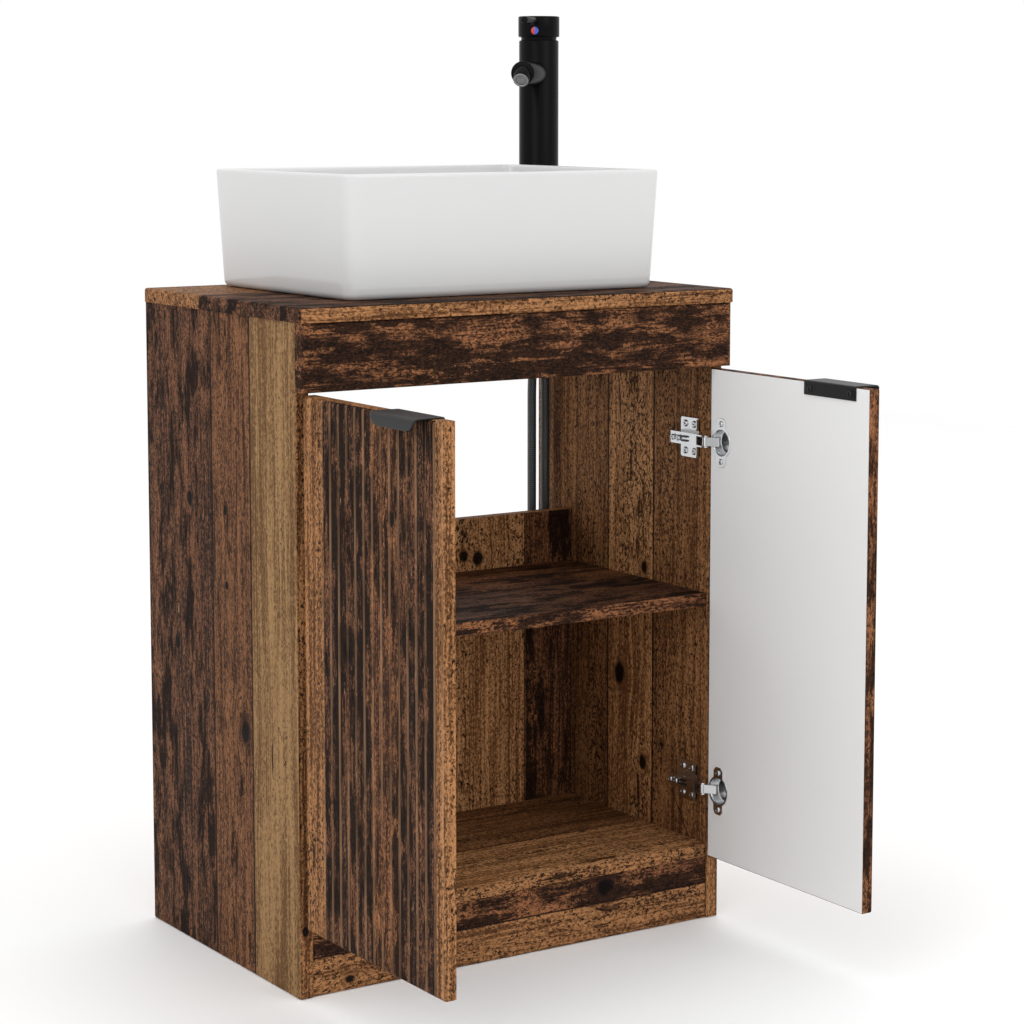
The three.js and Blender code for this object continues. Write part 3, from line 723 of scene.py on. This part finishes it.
# ------------ boards
def board(node, thin, faces, edges, ends=None, shape=None):
    """A board with eased edges in a CAD board's place; thin is the axis through its thickness.

    ends is the axis whose end faces carry the decor of the large faces instead of an edge band.
    """
    lo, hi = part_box(node)
    bm = bmesh.new()
    cube(bm, lo, hi)
    if shape:
        shape(bm)
    else:
        round_edges(bm, BOARD_EDGE, 2)
    for face in bm.faces:
        normal = face.normal
        decor = abs(normal[thin]) > 0.8 or (ends is not None and abs(normal[ends]) > 0.8)
        face.material_index = 0 if decor else 1
    piece = to_object(f"{node}_board", bm, faces, edges, angle=60)
    weighted_normals(piece)
    dress(piece, body_of(node), slot_of(node), node)


def side_knots(node, spots):
    """Knots from (share of height, share of depth, radius)."""
    lo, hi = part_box(node)
    size = hi - lo
    return [(lo.z + up * size.z, lo.y + back * size.y, radius) for up, back, radius in spots]


WHOLE_WIDTH = (-0.3, 0.3)
WHOLE_HEIGHT = (0.0, 0.8)

# A decor's last number picks its stretch of the pattern.
left_decor = wood("left_side_decor", Z, Y, span("left_side_panel", Y),
    [(0.288, "pine"), (0.543, "brown"), (1.0, "umber")], 1.0, seam=0.0022,
    knots=side_knots("left_side_panel", [(0.372, 0.335, 0.013), (0.70, 0.455, 0.0045),
    (0.705, 0.70, 0.006), (0.585, 0.45, 0.004),
    (0.47, 0.80, 0.006)]),
    cracks=[(0.255, 0.048, 0.055, 0.0, 0.0022), (0.64, 0.075, 0.09, 0.12, 0.0014),
    (0.44, 0.061, 0.12, 0.02, 0.0010)])
right_decor = wood("right_side_decor", Z, Y, span("right_side_panel", Y),
    [(0.307, "tan"), (0.568, "honey"), (1.0, "tan")], 2.0, seam=0.0020,
    knots=side_knots("right_side_panel", [(0.36, 0.50, 0.012), (0.55, 0.36, 0.007),
    (0.22, 0.36, 0.008)]),
    cracks=[(0.11, 0.040, 0.09, 0.7, 0.0018), (0.60, 0.17, 0.08, 0.05, 0.0022)])
side_edges = wood("side_edge_decor", Z, X, WHOLE_WIDTH, [(1.0, "tan")], 3.0,
    knots=[(0.075, -0.275, 0.004)])
tan_edges = wood("tan_edge_decor", X, Z, WHOLE_HEIGHT, [(1.0, "tan")], 4.0)
rust_edges = wood("rust_edge_decor", X, Z, WHOLE_HEIGHT, [(1.0, "rust")], 5.0)
top_decor = wood("top_decor", X, Y, span("top_panel", Y),
    [(0.12, "charred"), (0.36, "umber"), (0.62, "charred"), (1.0, "tan")], 6.0)
apron_decor = wood("apron_decor", X, Z, span("apron", Z), [(1.0, "rust")], 7.0)
plinth_decor = wood("plinth_decor", X, Z, span("plinth", Z), [(0.57, "tan"), (1.0, "rust")], 8.0,
    knots=[(0.12, 0.060, 0.011), (-0.22, 0.012, 0.005)])
shelf_decor = wood("shelf_decor", X, Y, span("shelf", Y), [(0.5, "umber"), (1.0, "rust")], 9.0)
bottom_decor = wood("bottom_decor", X, Y, span("bottom_panel", Y),
    [(0.45, "honey"), (1.0, "tan")], 10.0)
back_decor = wood("back_decor", Z, X, span("back_panel", X),
    [(0.40, "honey"), (0.865, "honey"), (1.0, "rust")], 11.0,
    knots=[(0.405, 0.125, 0.007), (0.408, 0.045, 0.006), (0.365, 0.150, 0.004),
    (0.410, 0.105, 0.006)])
rail_decor = wood("rail_decor", X, Z, span("rear_rail", Z), [(1.0, "honey")], 16.0)


def shape_top(bm):
    """Rounded corners, a rounded upper edge and an eased lower edge."""
    top = max(vertex.co.z for vertex in bm.verts)
    round_edges(bm, TOP_CORNER, 5, lambda edge: abs(direction_of(edge).z) > 0.9)
    round_edges(bm, TOP_EDGE, 4, lambda edge: all(abs(v.co.z - top) < 1e-6 for v in edge.verts))


def shape_apron(bm):
    """The apron's front face is rounded off on all sides."""
    front = min(vertex.co.y for vertex in bm.verts)
    round_edges(bm, APRON_EDGE, 4, lambda edge: all(abs(v.co.y - front) < 1e-6 for v in edge.verts))


board("left_side_panel", X, left_decor, side_edges)
board("right_side_panel", X, right_decor, side_edges)
board("top_panel", Z, top_decor, tan_edges, ends=X, shape=shape_top)
board("apron", Y, apron_decor, apron_decor, shape=shape_apron)
board("bottom_panel", Z, bottom_decor, tan_edges)
board("plinth", Y, plinth_decor, plinth_decor)
board("back_panel", Y, back_decor, tan_edges)
board("rear_rail", Y, rail_decor, tan_edges)
board("shelf", Z, shelf_decor, rust_edges)

# ------------ doors
EASE_SHARES = (0, 0.04, 0.16, 0.36, 0.64, 1)  # rows across a rounded edge
GROOVE_SHARES = (-1.3, -1, -0.85, -0.15, 0, 0.15, 0.85, 1, 1.3)  # and across a groove
GROOVE_SLOPE = 1.05
GROOVE_FLAT = 0.93  # its flat bottom's depth
POCKET_RADIUS = 0.0176
POCKET_DEPTH = 0.0122
LINING_MARGIN = 0.0006


def edge_rows(low, high):
    """Places across a face, close together where its two edges are rounded."""
    rise = [DOOR_EDGE * share for share in EASE_SHARES]
    return {low + r for r in rise} | {high - r for r in rise}


def edge_pull(place, low, high):
    """How far the face has pulled in at a place by its two rounded edges."""
    return max(fillet(DOOR_EDGE, place - low), fillet(DOOR_EDGE, high - place))


def door_depths(lo, hi):
    """Places across the grooved face from the free edge, and how deep the face lies there."""
    first = lo.y + FREE_MARGIN
    last = hi.y - HINGE_STILE
    centres = [first + (last - first) * i / (GROOVES - 1) for i in range(GROOVES)]
    places = edge_rows(lo.y, hi.y)
    for centre in centres:
        places |= {centre + GROOVE_HALF_WIDTH * share for share in GROOVE_SHARES}

    def depth(y):
        near = min(abs(y - centre) for centre in centres)
        groove = GROOVE_DEPTH * min(max(GROOVE_SLOPE * (1 - near / GROOVE_HALF_WIDTH), 0), GROOVE_FLAT)
        return max(groove, edge_pull(y, lo.y, hi.y))

    return [(y, depth(y)) for y in sorted(places)]


def door(side, inwards, faces, edges):
    """The grooved leaf and its white lining, with pockets for the hinge cups."""
    node = f"{side}_door"
    lo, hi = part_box(node)
    outer = lo.x if inwards > 0 else hi.x
    inner = (hi.x if inwards > 0 else lo.x) - inwards * LINING
    columns = door_depths(lo, hi)
    bm = bmesh.new()
    rings = []
    for z in sorted(edge_rows(lo.z, hi.z)):
        pull = edge_pull(z, lo.z, hi.z)
        ring = [Vector((outer + inwards * max(depth, pull), y, z)) for y, depth in columns]
        ring += [Vector((inner, hi.y, z)), Vector((inner, lo.y, z))]
        rings.append(ring)
    loft(bm, rings)
    bmesh.ops.recalc_face_normals(bm, faces=bm.faces)
    for face in bm.faces:
        face.material_index = 1 if abs(face.normal.y) > 0.9 or abs(face.normal.z) > 0.9 else 0
    leaf = to_object(f"{side}_door_leaf", bm, faces, edges, angle=25)

    bm = bmesh.new()
    cube(bm, (inner, lo.y + LINING_MARGIN, lo.z + LINING_MARGIN),
         (inner + inwards * LINING, hi.y - LINING_MARGIN, hi.z - LINING_MARGIN))
    lining = to_object(f"{side}_door_lining", bm, lining_white)
    for level in LEVELS:
        cup = centre_of(f"hinge_cup_{side}_{level}")
        foot = Vector((inner + inwards * LINING, cup.y, cup.z))
        for piece in (leaf, lining):
            pocket = turned("pocket", [(0, -POCKET_DEPTH), (POCKET_RADIUS, -POCKET_DEPTH),
                (POCKET_RADIUS, 0.002), (0, 0.002)],
                foot, (inwards, 0, 0), segments=48)
            carve(piece, pocket)
    for piece in (leaf, lining):
        crease(piece, 25)
    dress(leaf, body_of(node), slot_of(node), node)
    dress(lining, body_of(node), "door_lining")


left_door_decor = wood("left_door_decor", Z, Y, span("left_door", Y),
    [(0.05, "tan"), (0.30, "charred"), (0.50, "rust"), (0.85, "charred"),
    (1.0, "tan")], 12.0, seam=0.0008, grooved=True,
    knots=[(0.40, -0.11, 0.008), (0.55, -0.20, 0.006)])
right_door_decor = wood("right_door_decor", Z, Y, span("right_door", Y),
    [(0.05, "tan"), (0.2, "rust"), (0.4, "charred"), (0.7, "rust"), (1.0, "charred")],
    13.0, seam=0.0008, grooved=True)
door_edge_decor = wood("door_edge_decor", Z, X, WHOLE_WIDTH, [(1.0, "tan")], 14.0)
right_door_edge = wood("right_door_edge", Z, X, WHOLE_WIDTH, [(1.0, "rust")], 15.0)
door("left", 1, left_door_decor, door_edge_decor)
door("right", -1, right_door_decor, right_door_edge)

# ------------ handles
def handle(side, inwards):
    """A bent sheet: a plate on the door's inner face, over its top, and a lip hanging outside."""
    node = f"{side}_handle"
    lo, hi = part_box(node)
    back = hi.x if inwards > 0 else lo.x  # inner side of the screwed plate
    front = lo.x if inwards > 0 else hi.x  # outer side of the lip
    bend = HANDLE_BEND
    top = hi.z
    fold = 0.0012  # bevel of the plate's upper fold
    line = [(back, lo.z), (back, top - fold), (back - inwards * fold, top)]
    for turn in quarter_turns(8):
        line.append((front + inwards * bend * (1 - math.sin(turn)), top - bend * (1 - math.cos(turn))))
    line.append((front, top - HANDLE_LIP - HANDLE_SHEET))
    lengths = [0.0]
    for (x0, z0), (x1, z1) in zip(line, line[1:]):
        lengths.append(lengths[-1] + math.hypot(x1 - x0, z1 - z0))
    total = lengths[-1]

    samples = []
    for (x0, z0), (x1, z1), s0, s1 in zip(line, line[1:], lengths, lengths[1:]):
        steps = max(1, round((s1 - s0) / HANDLE_SHEET))
        for i in range(steps):
            t = i / steps
            samples.append((x0 + (x1 - x0) * t, z0 + (z1 - z0) * t, s0 + (s1 - s0) * t))
    samples.append((*line[-1], total))
    bm = bmesh.new()
    across = 22
    rows = []
    for x, z, s in samples:
        pull = fillet(HANDLE_CORNER, max(total - s, 0.0))
        y0 = lo.y + pull
        y1 = hi.y - pull
        rows.append([bm.verts.new((x, y0 + (y1 - y0) * i / across, z)) for i in range(across + 1)])
    for row, following in zip(rows, rows[1:]):
        for i in range(across):
            bm.faces.new((row[i], row[i + 1], following[i + 1], following[i]))
    piece = to_object(f"{side}_pull", bm, handle_black, angle=60)
    sheet = piece.modifiers.new("sheet", "SOLIDIFY")
    sheet.thickness = HANDLE_SHEET
    sheet.offset = 1 if piece.data.polygons[0].normal.x * inwards < 0 else -1
    ease = piece.modifiers.new("ease", "BEVEL")
    ease.width = 0.0004
    ease.segments = 2
    ease.limit_method = "ANGLE"
    ease.angle_limit = math.radians(60)
    bake(piece)
    crease(piece, 40)
    dress(piece, body_of(node), slot_of(node), node)


# ------------ screws
def screw_pattern(radius, height):
    """A pan head with a cross recess, standing on the origin."""
    arm = radius * 0.14
    reach = radius * 0.60
    tips = []
    for i in range(4):
        turn = Matrix.Rotation(math.pi / 2 * i, 3, "Z")
        tips += [turn @ Vector(spot) for spot in ((reach, -arm, 0), (reach, 0, 0), (reach, arm, 0),
            ((reach + arm) / 2, arm, 0), (arm, arm, 0),
            (arm, (reach + arm) / 2, 0))]
    cross = [tips[(i + 1) % 24] for i in range(24)]
    rings = [circle(radius * share, height * rise, 24) for share, rise in
        ((1, -0.2), (1, 0.35), (0.94, 0.68), (0.84, 0.90), (0.72, 1.0))]
    rings += [[point + Vector((0, 0, height)) for point in cross],
        [point * 0.8 + Vector((0, 0, height * 0.35)) for point in cross]]
    bm = bmesh.new()
    loft(bm, rings)
    # The faces of the cross recess take the second material, which is dark: on the bright screws it is
    # painted shade in the recess.
    for face in bm.faces:
        low = all(vertex.co.z < height * 0.99 for vertex in face.verts)
        inside = all(vertex.co.xy.length < reach * 1.1 for vertex in face.verts)
        face.material_index = 1 if inside and low else 0
    bmesh.ops.recalc_face_normals(bm, faces=bm.faces)
    mesh = bpy.data.meshes.new("screw_pattern")
    bm.to_mesh(mesh)
    bm.free()
    return mesh


SMALL_SCREW = screw_pattern(0.0035, 0.0016)
LARGE_SCREW = screw_pattern(0.0042, 0.0018)


def screws(name, pattern, spots, direction, body, slot, material, *nodes):
    """One piece with a screw head at each spot; every head is turned a little differently."""
    bm = bmesh.new()
    for i, spot in enumerate(spots):
        start = len(bm.verts)
        bm.from_mesh(pattern)
        bm.verts.ensure_lookup_table()
        spin = Matrix.Rotation(0.5 + 1.3 * i, 4, "Z")
        bmesh.ops.transform(bm, matrix=upright(spot, direction) @ spin, verts=bm.verts[start:])
    # The cross recesses take screw_black, which on the nickel screws is painted shade.
    piece = to_object(name, bm, material, screw_black, angle=40)
    dress(piece, body, slot, *nodes)


for side, inwards in SIDES:
    handle(side, inwards)
    heads = [f"handle_screw_{side}_{i}" for i in (1, 2)]
    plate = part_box(f"{side}_handle")
    face = plate[1].x if inwards > 0 else plate[0].x
    spots = [Vector((face, centre_of(name).y, centre_of(name).z)) for name in heads]
    screws(f"{side}_pull_screws", SMALL_SCREW, spots, (inwards, 0, 0), body_of(heads[0]), "screw_black",
           screw_black, *heads)

# ------------ hinges
PLATE_BASE = 0.002
RIB_HEIGHT = 0.0098
RIB_HALF = 0.005
RIB_OVERHANG = 0.003  # how far the rib runs out behind the plate's base
FLANGE = 0.0012
FLANGE_SIDES = 96
CUP_DEPTH = 0.0127


def eased(node, material, width):
    """A CAD node that keeps its shape, with eased edges and a better material."""
    obj = frame["nodes"][node]
    obj.data.materials.clear()
    obj.data.materials.append(material)
    weld = obj.modifiers.new("weld", "WELD")
    weld.merge_threshold = 0.00001
    bevel = obj.modifiers.new("ease", "BEVEL")
    bevel.width = width
    bevel.segments = 2
    bevel.limit_method = "ANGLE"
    bevel.angle_limit = math.radians(40)
    bevel.harden_normals = True


def flange_outline(half_width, half_height, round_part):
    """A narrow upright plate with a round part in the middle, as points round its centre."""
    points = []
    for unit in circle(1, 0, FLANGE_SIDES):
        a, b = abs(unit.x), abs(unit.y)
        plate = min(half_width / max(a, 1e-9), half_height / max(b, 1e-9),
            (half_width + half_height - 0.004) / (a + b))
        reach = max(plate, round_part)
        points.append((reach * unit.x, reach * unit.y))
    return points


def mounting_plate(label, inwards):
    """The plate on the side panel: a base, a rib along it, two wings at its front and four screws."""
    lo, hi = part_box(f"hinge_plate_{label}")
    panel = lo.x if inwards > 0 else hi.x
    z = (lo.z + hi.z) / 2
    front = lo.y
    rear = hi.y - RIB_OVERHANG
    bm = bmesh.new()
    prism(bm, rounded_outline(front, lo.z, rear, hi.z, 0.003), X, panel, panel + inwards * PLATE_BASE)
    cube(bm, (panel + inwards * 0.001, front + 0.001, z - RIB_HALF),
         (panel + inwards * RIB_HEIGHT, hi.y, z + RIB_HALF))
    for wing in (lo.z + 0.0004, z + 0.0090):
        cube(bm, (panel, front, wing), (panel + inwards * 0.0052, front + 0.0014, wing + 0.0135))
    round_edges(bm, 0.0003, 2, lambda edge: edge.calc_length() > 0.0012)
    dress(to_object(f"mounting_plate_{label}", bm, nickel), "cabinet", "hinge_zinc", f"hinge_plate_{label}")
    spots = [Vector((panel + inwards * PLATE_BASE, y, z + dz)) for y in (front + 0.009, rear - 0.009)
        for dz in (-0.016, 0.016)]
    screws(f"plate_screws_{label}", LARGE_SCREW, spots, (inwards, 0, 0), "cabinet", "hinge_zinc", nickel)


def hinge_arm(label, inwards):
    """The CAD arm and link, with two screws and a pair of thin dark sheets on the arm's crown, painted shade
    where its slots are.
    """
    eased(f"hinge_arm_{label}", nickel, 0.0003)
    eased(f"hinge_link_{label}", nickel, 0.0002)
    lo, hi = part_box(f"hinge_arm_{label}")
    z = centre_of(f"hinge_plate_{label}").z
    crown = hi.x if inwards > 0 else lo.x
    spots = [Vector((crown, hi.y - back, z)) for back in (0.006, 0.0165)]
    screws(f"arm_screws_{label}", SMALL_SCREW, spots, (inwards, 0, 0), "cabinet", "hinge_zinc", nickel)
    # Painted shade: thin dark sheets stand for the slots in the arm's crown.
    bm = bmesh.new()
    front = hi.y - 0.034
    for level in (z - 0.0024, z + 0.0024):
        prism(bm, rounded_outline(front, level - 0.0011, front + 0.012, level + 0.0011, 0.001),
              X, crown - inwards * 0.0004, crown + inwards * 0.0002)
    dress(to_object(f"arm_window_{label}", bm, screw_black), "cabinet", "hinge_zinc")


def hinge_cup(label, inwards, body):
    """The cup in the door, its flange against the door's inner face and two screws."""
    lo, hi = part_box(f"hinge_cup_{label}")
    face = hi.x if inwards > 0 else lo.x
    middle = centre_of(f"hinge_cup_{label}")
    z = centre_of(f"hinge_plate_{label}").z
    axis = (inwards, 0, 0)
    outer = flange_outline(0.0085, (hi.z - lo.z) / 2, 0.0180)
    inner = [(point.x, point.y) for point in circle(0.0156, 0, FLANGE_SIDES)]
    eased_outer = [(a * 0.985, b * 0.99) for a, b in outer]
    layers = ((outer, FLANGE), (outer, 0.0003), (eased_outer, 0), (inner, 0), (inner, FLANGE))
    bm = bmesh.new()
    loft(bm, [[Vector((face - inwards * drop, middle.y + a, z + b)) for a, b in outline]
        for outline, drop in layers], looped=True)
    dress(to_object(f"cup_flange_{label}", bm, nickel), body, "hinge_zinc", f"hinge_cup_{label}")
    cup = turned(f"cup_{label}", [
        (0, 0), (0.0165, 0), (0.0172, 0.0007), (0.0172, CUP_DEPTH - 0.0013), (0.0156, CUP_DEPTH - 0.0010),
        (0.0150, CUP_DEPTH - 0.0016), (0.0148, 0.0030), (0.0135, 0.0012), (0, 0.0012)],
        Vector((face - inwards * CUP_DEPTH, middle.y, z)), axis, nickel)
    dress(cup, body, "hinge_zinc")
    spots = [Vector((face, middle.y, z + dz)) for dz in (-0.022, 0.022)]
    screws(f"cup_screws_{label}", SMALL_SCREW, spots, axis, body, "hinge_zinc", nickel)


for side, inwards in SIDES:
    for level in LEVELS:
        label = f"{side}_{level}"
        mounting_plate(label, inwards)
        hinge_arm(label, inwards)
        hinge_cup(label, inwards, f"{side}_door_leaf")
    eased(f"apron_bracket_{side}", nickel, 0.0004)
    for end in ("front", "rear"):
        eased(f"shelf_pin_{side}_{end}", chrome, 0.0003)

# ------------ basin
def basin():
    """One closed skin: up the outside, over the rim, down the bowl and through the drain."""
    lo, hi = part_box("basin")
    centre = (lo + hi) / 2
    base = (0.2045, 0.1505)  # half the foot's length and depth
    rim = ((hi.x - lo.x) / 2, (hi.y - lo.y) / 2)
    height = hi.z - lo.z

    def ring(rise, pull, corner):
        t = min(max(rise, 0), height) / height
        half_x, half_y = [b + (r - b) * t for b, r in zip(base, rim)]
        outline = rounded_outline(-half_x + pull, -half_y + pull, half_x - pull, half_y - pull,
            corner, steps=12)
        return [Vector((centre.x + x, centre.y + y, lo.z + rise)) for x, y in outline]

    def drain_ring(radius, rise, like):
        points = []
        for point in like:
            offset = Vector((point.x - centre.x, point.y - centre.y, 0)).normalized() * radius
            points.append(Vector((centre.x + offset.x, centre.y + offset.y, lo.z + rise)))
        return points

    def between(a, b, t, rise):
        return [Vector((p.x + (q.x - p.x) * t, p.y + (q.y - p.y) * t, lo.z + rise)) for p, q in zip(a, b)]

    foot = ring(0, BASIN_FOOT_RADIUS, 0.009)
    hole = drain_ring(DRAIN_RADIUS, 0, foot)
    rings = [hole, between(hole, foot, 0.6, 0.0), foot]
    for i in range(1, 7):
        rise = BASIN_FOOT_RADIUS * (1 - math.cos(math.pi / 2 * i / 6))
        rings.append(ring(rise, fillet(BASIN_FOOT_RADIUS, rise), 0.009 + 0.007 * i / 6))
    for share in (0.3, 0.6, 0.9):
        rings.append(ring(height * share, 0, BASIN_CORNER))
    r = BASIN_RIM_RADIUS
    for turn in quarter_turns(6):
        left = r * (1 - math.sin(turn))
        rings.append(ring(height - left, fillet(r, left), BASIN_CORNER - fillet(r, left)))
    for turn in quarter_turns(6):
        left = r * (1 - math.cos(turn))
        rings.append(ring(height - left, BASIN_WALL - fillet(r, left), BOWL_CORNER))
    for share in (0.9, 0.7, 0.5):
        rings.append(ring(height * share, BASIN_WALL, BOWL_CORNER + 0.006 * (1 - share)))
    bowl = BASIN_BOWL_RADIUS
    fall = 0.004  # from the bowl's foot to the drain
    for i, turn in enumerate(quarter_turns(8)):
        rings.append(ring(BASIN_FLOOR + fall + bowl * (1 - math.sin(turn)),
            BASIN_WALL + bowl * (1 - math.cos(turn)), 0.016 + 0.012 * i / 8))
    floor_ring = rings[-1]
    sunk = drain_ring(DRAIN_RADIUS + 0.012, BASIN_FLOOR + 0.0008, floor_ring)
    for i in range(1, 8):
        t = i / 7
        rings.append(between(floor_ring, sunk, t, BASIN_FLOOR + fall - 0.0034 * t))
    rings.append(drain_ring(DRAIN_RADIUS + 0.010, BASIN_FLOOR + 0.0002, floor_ring))
    rings.append(drain_ring(DRAIN_RADIUS, BASIN_FLOOR - 0.0002, floor_ring))
    bm = bmesh.new()
    loft(bm, rings, looped=True)
    piece = to_object("basin_bowl", bm, ceramic, angle=50)
    smooth = piece.modifiers.new("smooth", "SUBSURF")
    smooth.levels = 1
    smooth.render_levels = 1
    dress(piece, "cabinet", "ceramic", "basin")


basin()


# ------------ waste
def waste():
    """The flanged tail with its click plug, back nut and gasket, all turned about the drain."""
    centre = centre_of("waste_body")
    axis = (centre.x, centre.y, 0)
    tail, top = span("waste_body", Z)
    body = turned("waste_tail", [
        (0.0185, top - 0.0006), (0.0195, top), (0.0290, top - 0.0004), (0.0312, top - 0.0010),
        (0.0318, top - 0.0018), (0.0215, top - 0.0018), (0.0215, tail + 0.024), (0.0160, tail + 0.022),
        (0.0160, tail + 0.0006), (0.0156, tail), (0.0145, tail), (0.0145, tail + 0.024),
        (0.0185, tail + 0.026)], axis, UP, chrome, looped=True)
    dress(body, "cabinet", "chrome_fitting", "waste_body")

    low, high = span("waste_plug", Z)
    plug = turned("waste_plug_dome", [
        (0, low), (0.004, low), (0.004, high - 0.0056), (0.0275, high - 0.0056), (0.0300, high - 0.0050),
        (0.0304, high - 0.0040), (0.0300, high - 0.0032), (0.0265, high - 0.0020),
        (0.0200, high - 0.0011), (0.0110, high - 0.0004), (0, high)], axis, UP, chrome)
    dress(plug, "waste_plug", "chrome_fitting", "waste_plug")

    low, high = span("waste_nut", Z)
    ridges = []
    for i, point in enumerate(circle(0.031, 0, 48)):
        ridge = point if i % 4 < 2 else point * (0.0296 / 0.031)
        ridges.append((centre.x + ridge.x, centre.y + ridge.y))
    bm = bmesh.new()
    prism(bm, ridges, Z, low, high - 0.003)
    back_nut = to_object("waste_back_nut", bm, chrome)
    carve(back_nut, turned("bore", [(0, low - 0.001), (0.0218, low - 0.001), (0.0218, high + 0.001),
        (0, high + 0.001)], axis, UP))
    dress(back_nut, "cabinet", "chrome_fitting", "waste_nut")
    gasket = turned("waste_gasket", [
        (0.0217, high - 0.0029), (0.0300, high - 0.0029), (0.0305, high - 0.0015),
        (0.0300, high - 0.0001), (0.0217, high - 0.0001)], axis, UP, rubber, looped=True)
    dress(gasket, "cabinet", "seal_rubber")


waste()

# ------------ tap
TAP_AXIS = (tap_x, tap_y, 0)
HEADING = Vector((-1, -1, 0)).normalized()  # the way the spout and lever point
SIDEWAYS = Vector((1, -1, 0)).normalized()
TAP_RADIUS = 0.0245
CAP_RADIUS = 0.0255
SPOUT_HEIGHT = 0.2486
SPOUT_RADIUS = 0.0145
SPOUT_REACH = 0.100
LEVER_REACH = 0.0900
DOT_RADIUS = 0.0047
THREAD_PITCH = 0.0015
THREAD_ROOT = 0.0156
THREAD_CREST = 0.0165
THREAD_BORE = 0.0135


def tap_point(reach, height):
    return Vector((tap_x, tap_y, height)) + HEADING * reach


def tap_column():
    """The round column with a thin foot ring."""
    foot, top = span("tap_body", Z)
    r = TAP_RADIUS
    column = turned("tap_column", [
        (0.0170, foot), (0.0262, foot), (0.0265, foot + 0.0008), (0.0265, foot + 0.0028),
        (0.0260, foot + 0.0036), (r, foot + 0.0040), (r, top - 0.0016), (r - 0.0005, top - 0.0004),
        (r - 0.0016, top), (0.0225, top), (0.0225, top - 0.02), (0.0170, top - 0.03)],
        TAP_AXIS, UP, tap_black, segments=96, looped=True, angle=30)
    dress(column, "cabinet", "tap_black", "tap_body")


def tap_spout():
    """The straight spout, its tilted outlet and the aerator with a wire screen."""
    height = span("tap_body", Z)[0] + SPOUT_HEIGHT
    r = SPOUT_RADIUS
    end = SPOUT_REACH
    spout = turned("tap_spout", [
        (0, 0.010), (r, 0.010), (r, end - 0.0012), (r - 0.0004, end - 0.0004), (r - 0.0012, end), (0, end)],
        tap_point(0, height), HEADING, tap_black, segments=72, angle=30)
    start = tap_point(end - 0.007, height + 0.0024)
    mouth = tap_point(end + 0.009, height - 0.008)
    way = (mouth - start).normalized()
    outlet = turned("outlet", [(0, 0), (0.010, 0), (0.010, 0.0184), (0.0096, 0.0191), (0.0085, 0.0191),
        (0.0085, 0.0170), (0, 0.0170)], start, way, segments=64, angle=30)
    carve(spout, outlet, "UNION")
    crease(spout, 30)
    dress(spout, "cabinet", "tap_black")
    aerator = turned("tap_aerator_ring", [
        (0.0066, -0.006), (0.0082, -0.006), (0.0082, 0.0002), (0.0090, 0.0004), (0.0092, 0.0010),
        (0.0090, 0.0016), (0.0072, 0.0016), (0.0068, 0.0012)],
        mouth, way, dull_steel, segments=48, looped=True)
    dress(aerator, "cabinet", "chrome_fitting", "tap_aerator")
    wires = mesh_screen("wire_mesh", (SIDEWAYS, way.cross(SIDEWAYS).normalized()))
    screen = turned("tap_aerator_screen", [(0, -0.0012), (0.0067, -0.0012), (0.0067, -0.0004), (0, -0.0004)],
        mouth, way, wires, segments=48)
    dress(screen, "cabinet", "chrome_fitting")


def tap_handle():
    """The cap, the lever rod and the red and blue dot on the cap's side."""
    low, roof = span("tap_cap", Z)
    r = CAP_RADIUS
    cap = turned("tap_cap_shell", [
        (0.0225, low), (r - 0.0012, low), (r - 0.0005, low + 0.0004), (r, low + 0.0014),
        (r, roof - 0.0014), (r - 0.0004, roof - 0.0005), (r - 0.0013, roof), (0.0, roof),
        (0.0, roof - 0.013), (0.0225, roof - 0.013)],
        TAP_AXIS, UP, tap_black, segments=96, looped=True, angle=30)
    dress(cap, "tap_handle", "tap_black", "tap_cap")
    low, high = span("tap_lever", Z)
    r = (high - low) / 2
    end = LEVER_REACH
    lever = turned("tap_lever_rod", [
        (0, 0.0185), (r, 0.0185), (r, end - 0.0012), (r * 0.93, end - 0.0005), (r * 0.80, end - 0.0001),
        (0, end)], tap_point(0, (low + high) / 2), HEADING, tap_black, segments=40, angle=30)
    dress(lever, "tap_handle", "tap_black", "tap_lever")
    start = tap_point(CAP_RADIUS - 0.0011, centre_of("tap_indicator").z)
    enamel = two_colours("hot_cold_enamel", start, SIDEWAYS, (0.62, 0.02, 0.02), (0.02, 0.10, 0.62))
    dot = turned("tap_hot_cold_dot", [(0, 0), (DOT_RADIUS, 0), (DOT_RADIUS, 0.0012),
        (DOT_RADIUS - 0.0004, 0.0016), (0, 0.0019)],
        start, HEADING, enamel, segments=40)
    dress(dot, "tap_handle", "tap_indicator", "tap_indicator")


def tap_shank():
    """The threaded tube that clamps the tap to the counter."""
    low, high = span("tap_shank", Z)
    threads = [(THREAD_BORE, low)]
    for i in range(int((high - low) / THREAD_PITCH)):
        threads += [(THREAD_ROOT, low + THREAD_PITCH * i), (THREAD_CREST, low + THREAD_PITCH * (i + 0.5))]
    threads += [(THREAD_ROOT, high), (THREAD_BORE, high)]
    shank = turned("tap_threaded_shank", threads, TAP_AXIS, UP, brass, segments=48, looped=True, angle=20)
    dress(shank, "cabinet", "tap_brass", "tap_shank")


tap_column()
tap_spout()
tap_handle()
for node, material in (("tap_cartridge", plastic), ("tap_bonnet_nut", tap_black), ("tap_spindle", brass),
        ("tap_washer", rubber), ("tap_nut", brass)):
    eased(node, material, 0.0003)
tap_shank()

bpy.context.view_layer.update()
